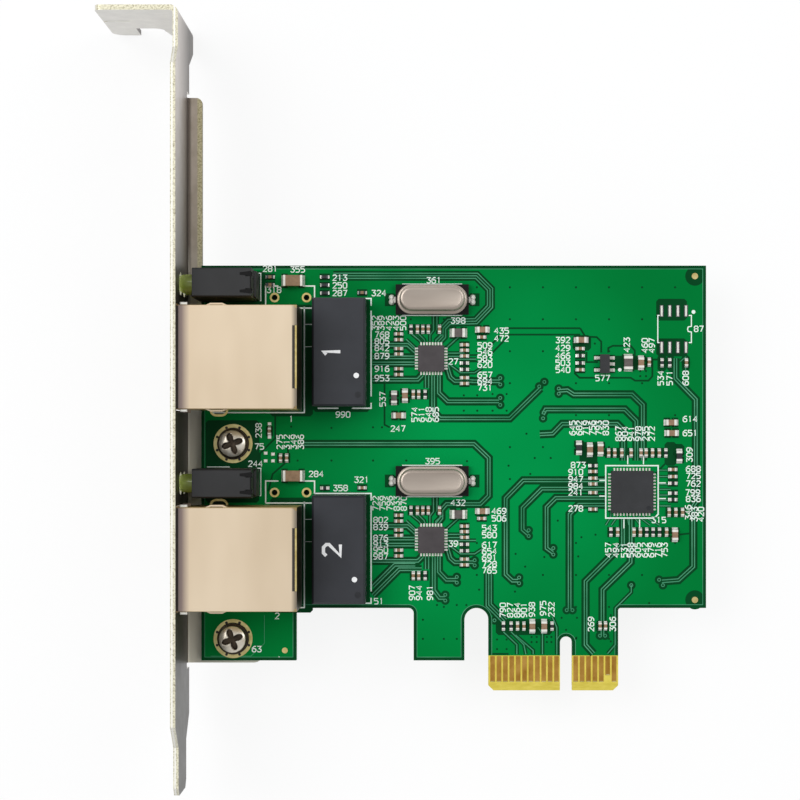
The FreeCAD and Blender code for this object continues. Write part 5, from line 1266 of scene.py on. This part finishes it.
def make_transformer_leads():
    """Bent leads tucked in under the long edges of the transformer cases, in dark tin that is
    painted shade under the cases.
    """
    for case, case_low, case_high in at_ports("transformer_%s_case"):
        name = case.replace("case", "leads")
        leads = Build(name + "_tucked", DULL_AND_SHADED_TIN, "tin")
        for low, high in islands(name):
            left = low[0] < (case_low.x + case_high.x) / 2
            edge, turn = (case_low.x, 1) if left else (case_high.x, -1)
            for far, level in ((0.14, case_low.z + 0.4), (0.9, TOP + 0.2)):
                first, last = sorted((edge - turn * 0.06, edge + turn * far))
                leads.box((first, low[1], TOP), (last, high[1], level), 0.03)
        leads.finish(name)


def make_contact_tips():
    """The bright line at the lower end of every gold contact."""
    tips = Build("contact_tips", PALE_GOLD, "gold_plate")
    for name in ("edge_contacts_front", "edge_contacts_back"):
        for low, high in islands(name):
            down, up = ((high[2] - 0.02, high[2] + 0.006) if name.endswith("front") else
                        (low[2] - 0.006, low[2] + 0.02))
            tips.box((low[0] + 0.05, low[1], down), (high[0] - 0.05, low[1] + 0.13, up))
    tips.finish()


def make_hook_line():
    """The raised lip along the short cut in the bracket's hook."""
    lip = Build("hook_lip", BRIGHT_TIN, "gold_plate")
    lip.box((-71.4, 104.24, 2.75), (-67.9, 104.34, 3.2), 0.03)
    lip.finish()


# ---------------------------------------------------------------- stage, light and camera

def make_stage():
    """A pale floor that shows white to the camera and in metal, and keeps a soft shadow."""
    look = Look("floor_pale")           # its two colours are given as linear light
    look.finish(Base_Color=look.ramp(look.noise(60), (0.93, 0.93, 0.93), (0.95, 0.95, 0.95)),
                Roughness=0.9, Specular_IOR_Level=0.1)
    rays = look.add("LightPath", {}).outputs
    seen = look.maths("MAXIMUM", rays["Is Camera Ray"], rays["Is Glossy Ray"])
    seen = look.maths("MAXIMUM", seen, rays["Is Transmission Ray"])
    blend = look.add("MixShader", {
        "Fac": look.maths("MULTIPLY", seen, 0.86), 1: look.shader.outputs["BSDF"],
        2: look.add("Emission", {}).outputs["Emission"]})
    look.feed(look.output, {"Surface": blend.outputs["Shader"]})
    level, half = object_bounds()[0][2] - 0.0002, 3.0     # in metres
    mesh = bpy.data.meshes.new("floor")
    mesh.from_pydata([(-half, -half, level), (half, -half, level), (half, half, level),
                      (-half, half, level)], [], [(0, 1, 2, 3)])
    mesh.materials.append(look.material)
    floor = bpy.data.objects.new("floor", mesh)
    bpy.context.scene.collection.objects.link(floor)


def area_lamp(name, place, size, power):
    """A soft lamp that points at the card; its place and size are in metres."""
    lamp = bpy.data.lights.new(name, "AREA")
    lamp.shape = "RECTANGLE"
    lamp.size, lamp.size_y = size
    lamp.energy = power
    thing = bpy.data.objects.new(name, lamp)
    thing.location = place
    run = Vector((-0.02, 0.04, 0.0)) - Vector(place)
    thing.rotation_euler = run.to_track_quat("-Z", "Y").to_euler()
    bpy.context.scene.collection.objects.link(thing)


def make_light():
    world = bpy.data.worlds.new("studio")
    bpy.context.scene.world = world
    world.use_nodes = True
    tree = world.node_tree
    tree.nodes.clear()
    output = tree.nodes.new("ShaderNodeOutputWorld")
    plain = tree.nodes.new("ShaderNodeBackground")
    plain.inputs["Color"].default_value = (0.96, 0.98, 1.0, 1)
    plain.inputs["Strength"].default_value = 0.62
    tree.links.new(plain.outputs["Background"], output.inputs["Surface"])
    area_lamp("softbox_left", (-0.45, 0.25, 0.6), (0.5, 0.5), 2.6)
    area_lamp("softbox_right", (0.5, 0.3, 0.55), (0.4, 0.5), 1.5)


def make_camera():
    """Straight above the card, at the distance and offset that the picture shows."""
    camera = bpy.data.cameras.new("camera")
    camera.sensor_width = 36.0
    camera.lens = 97.8
    camera.shift_x = -0.0438
    camera.shift_y = 0.0525
    camera.clip_start = 0.01
    thing = bpy.data.objects.new("camera", camera)
    height_m = 0.34
    thing.location = (-20.5 * MM, 38.9 * MM, TOP * MM + height_m)
    bpy.context.scene.collection.objects.link(thing)
    bpy.context.scene.camera = thing


bpy.context.scene.view_settings.view_transform = "Standard"
paint_nodes()
make_circuit()
make_silkscreen()
make_case_marks()
make_hole_lands()
make_solder()
make_crystals()
make_lights()
make_screw_rings()
make_screws()
make_shield_tops()
make_holder_backs()
make_transformer_leads()
make_contact_tips()
make_hook_line()
make_stage()
make_light()
make_camera()
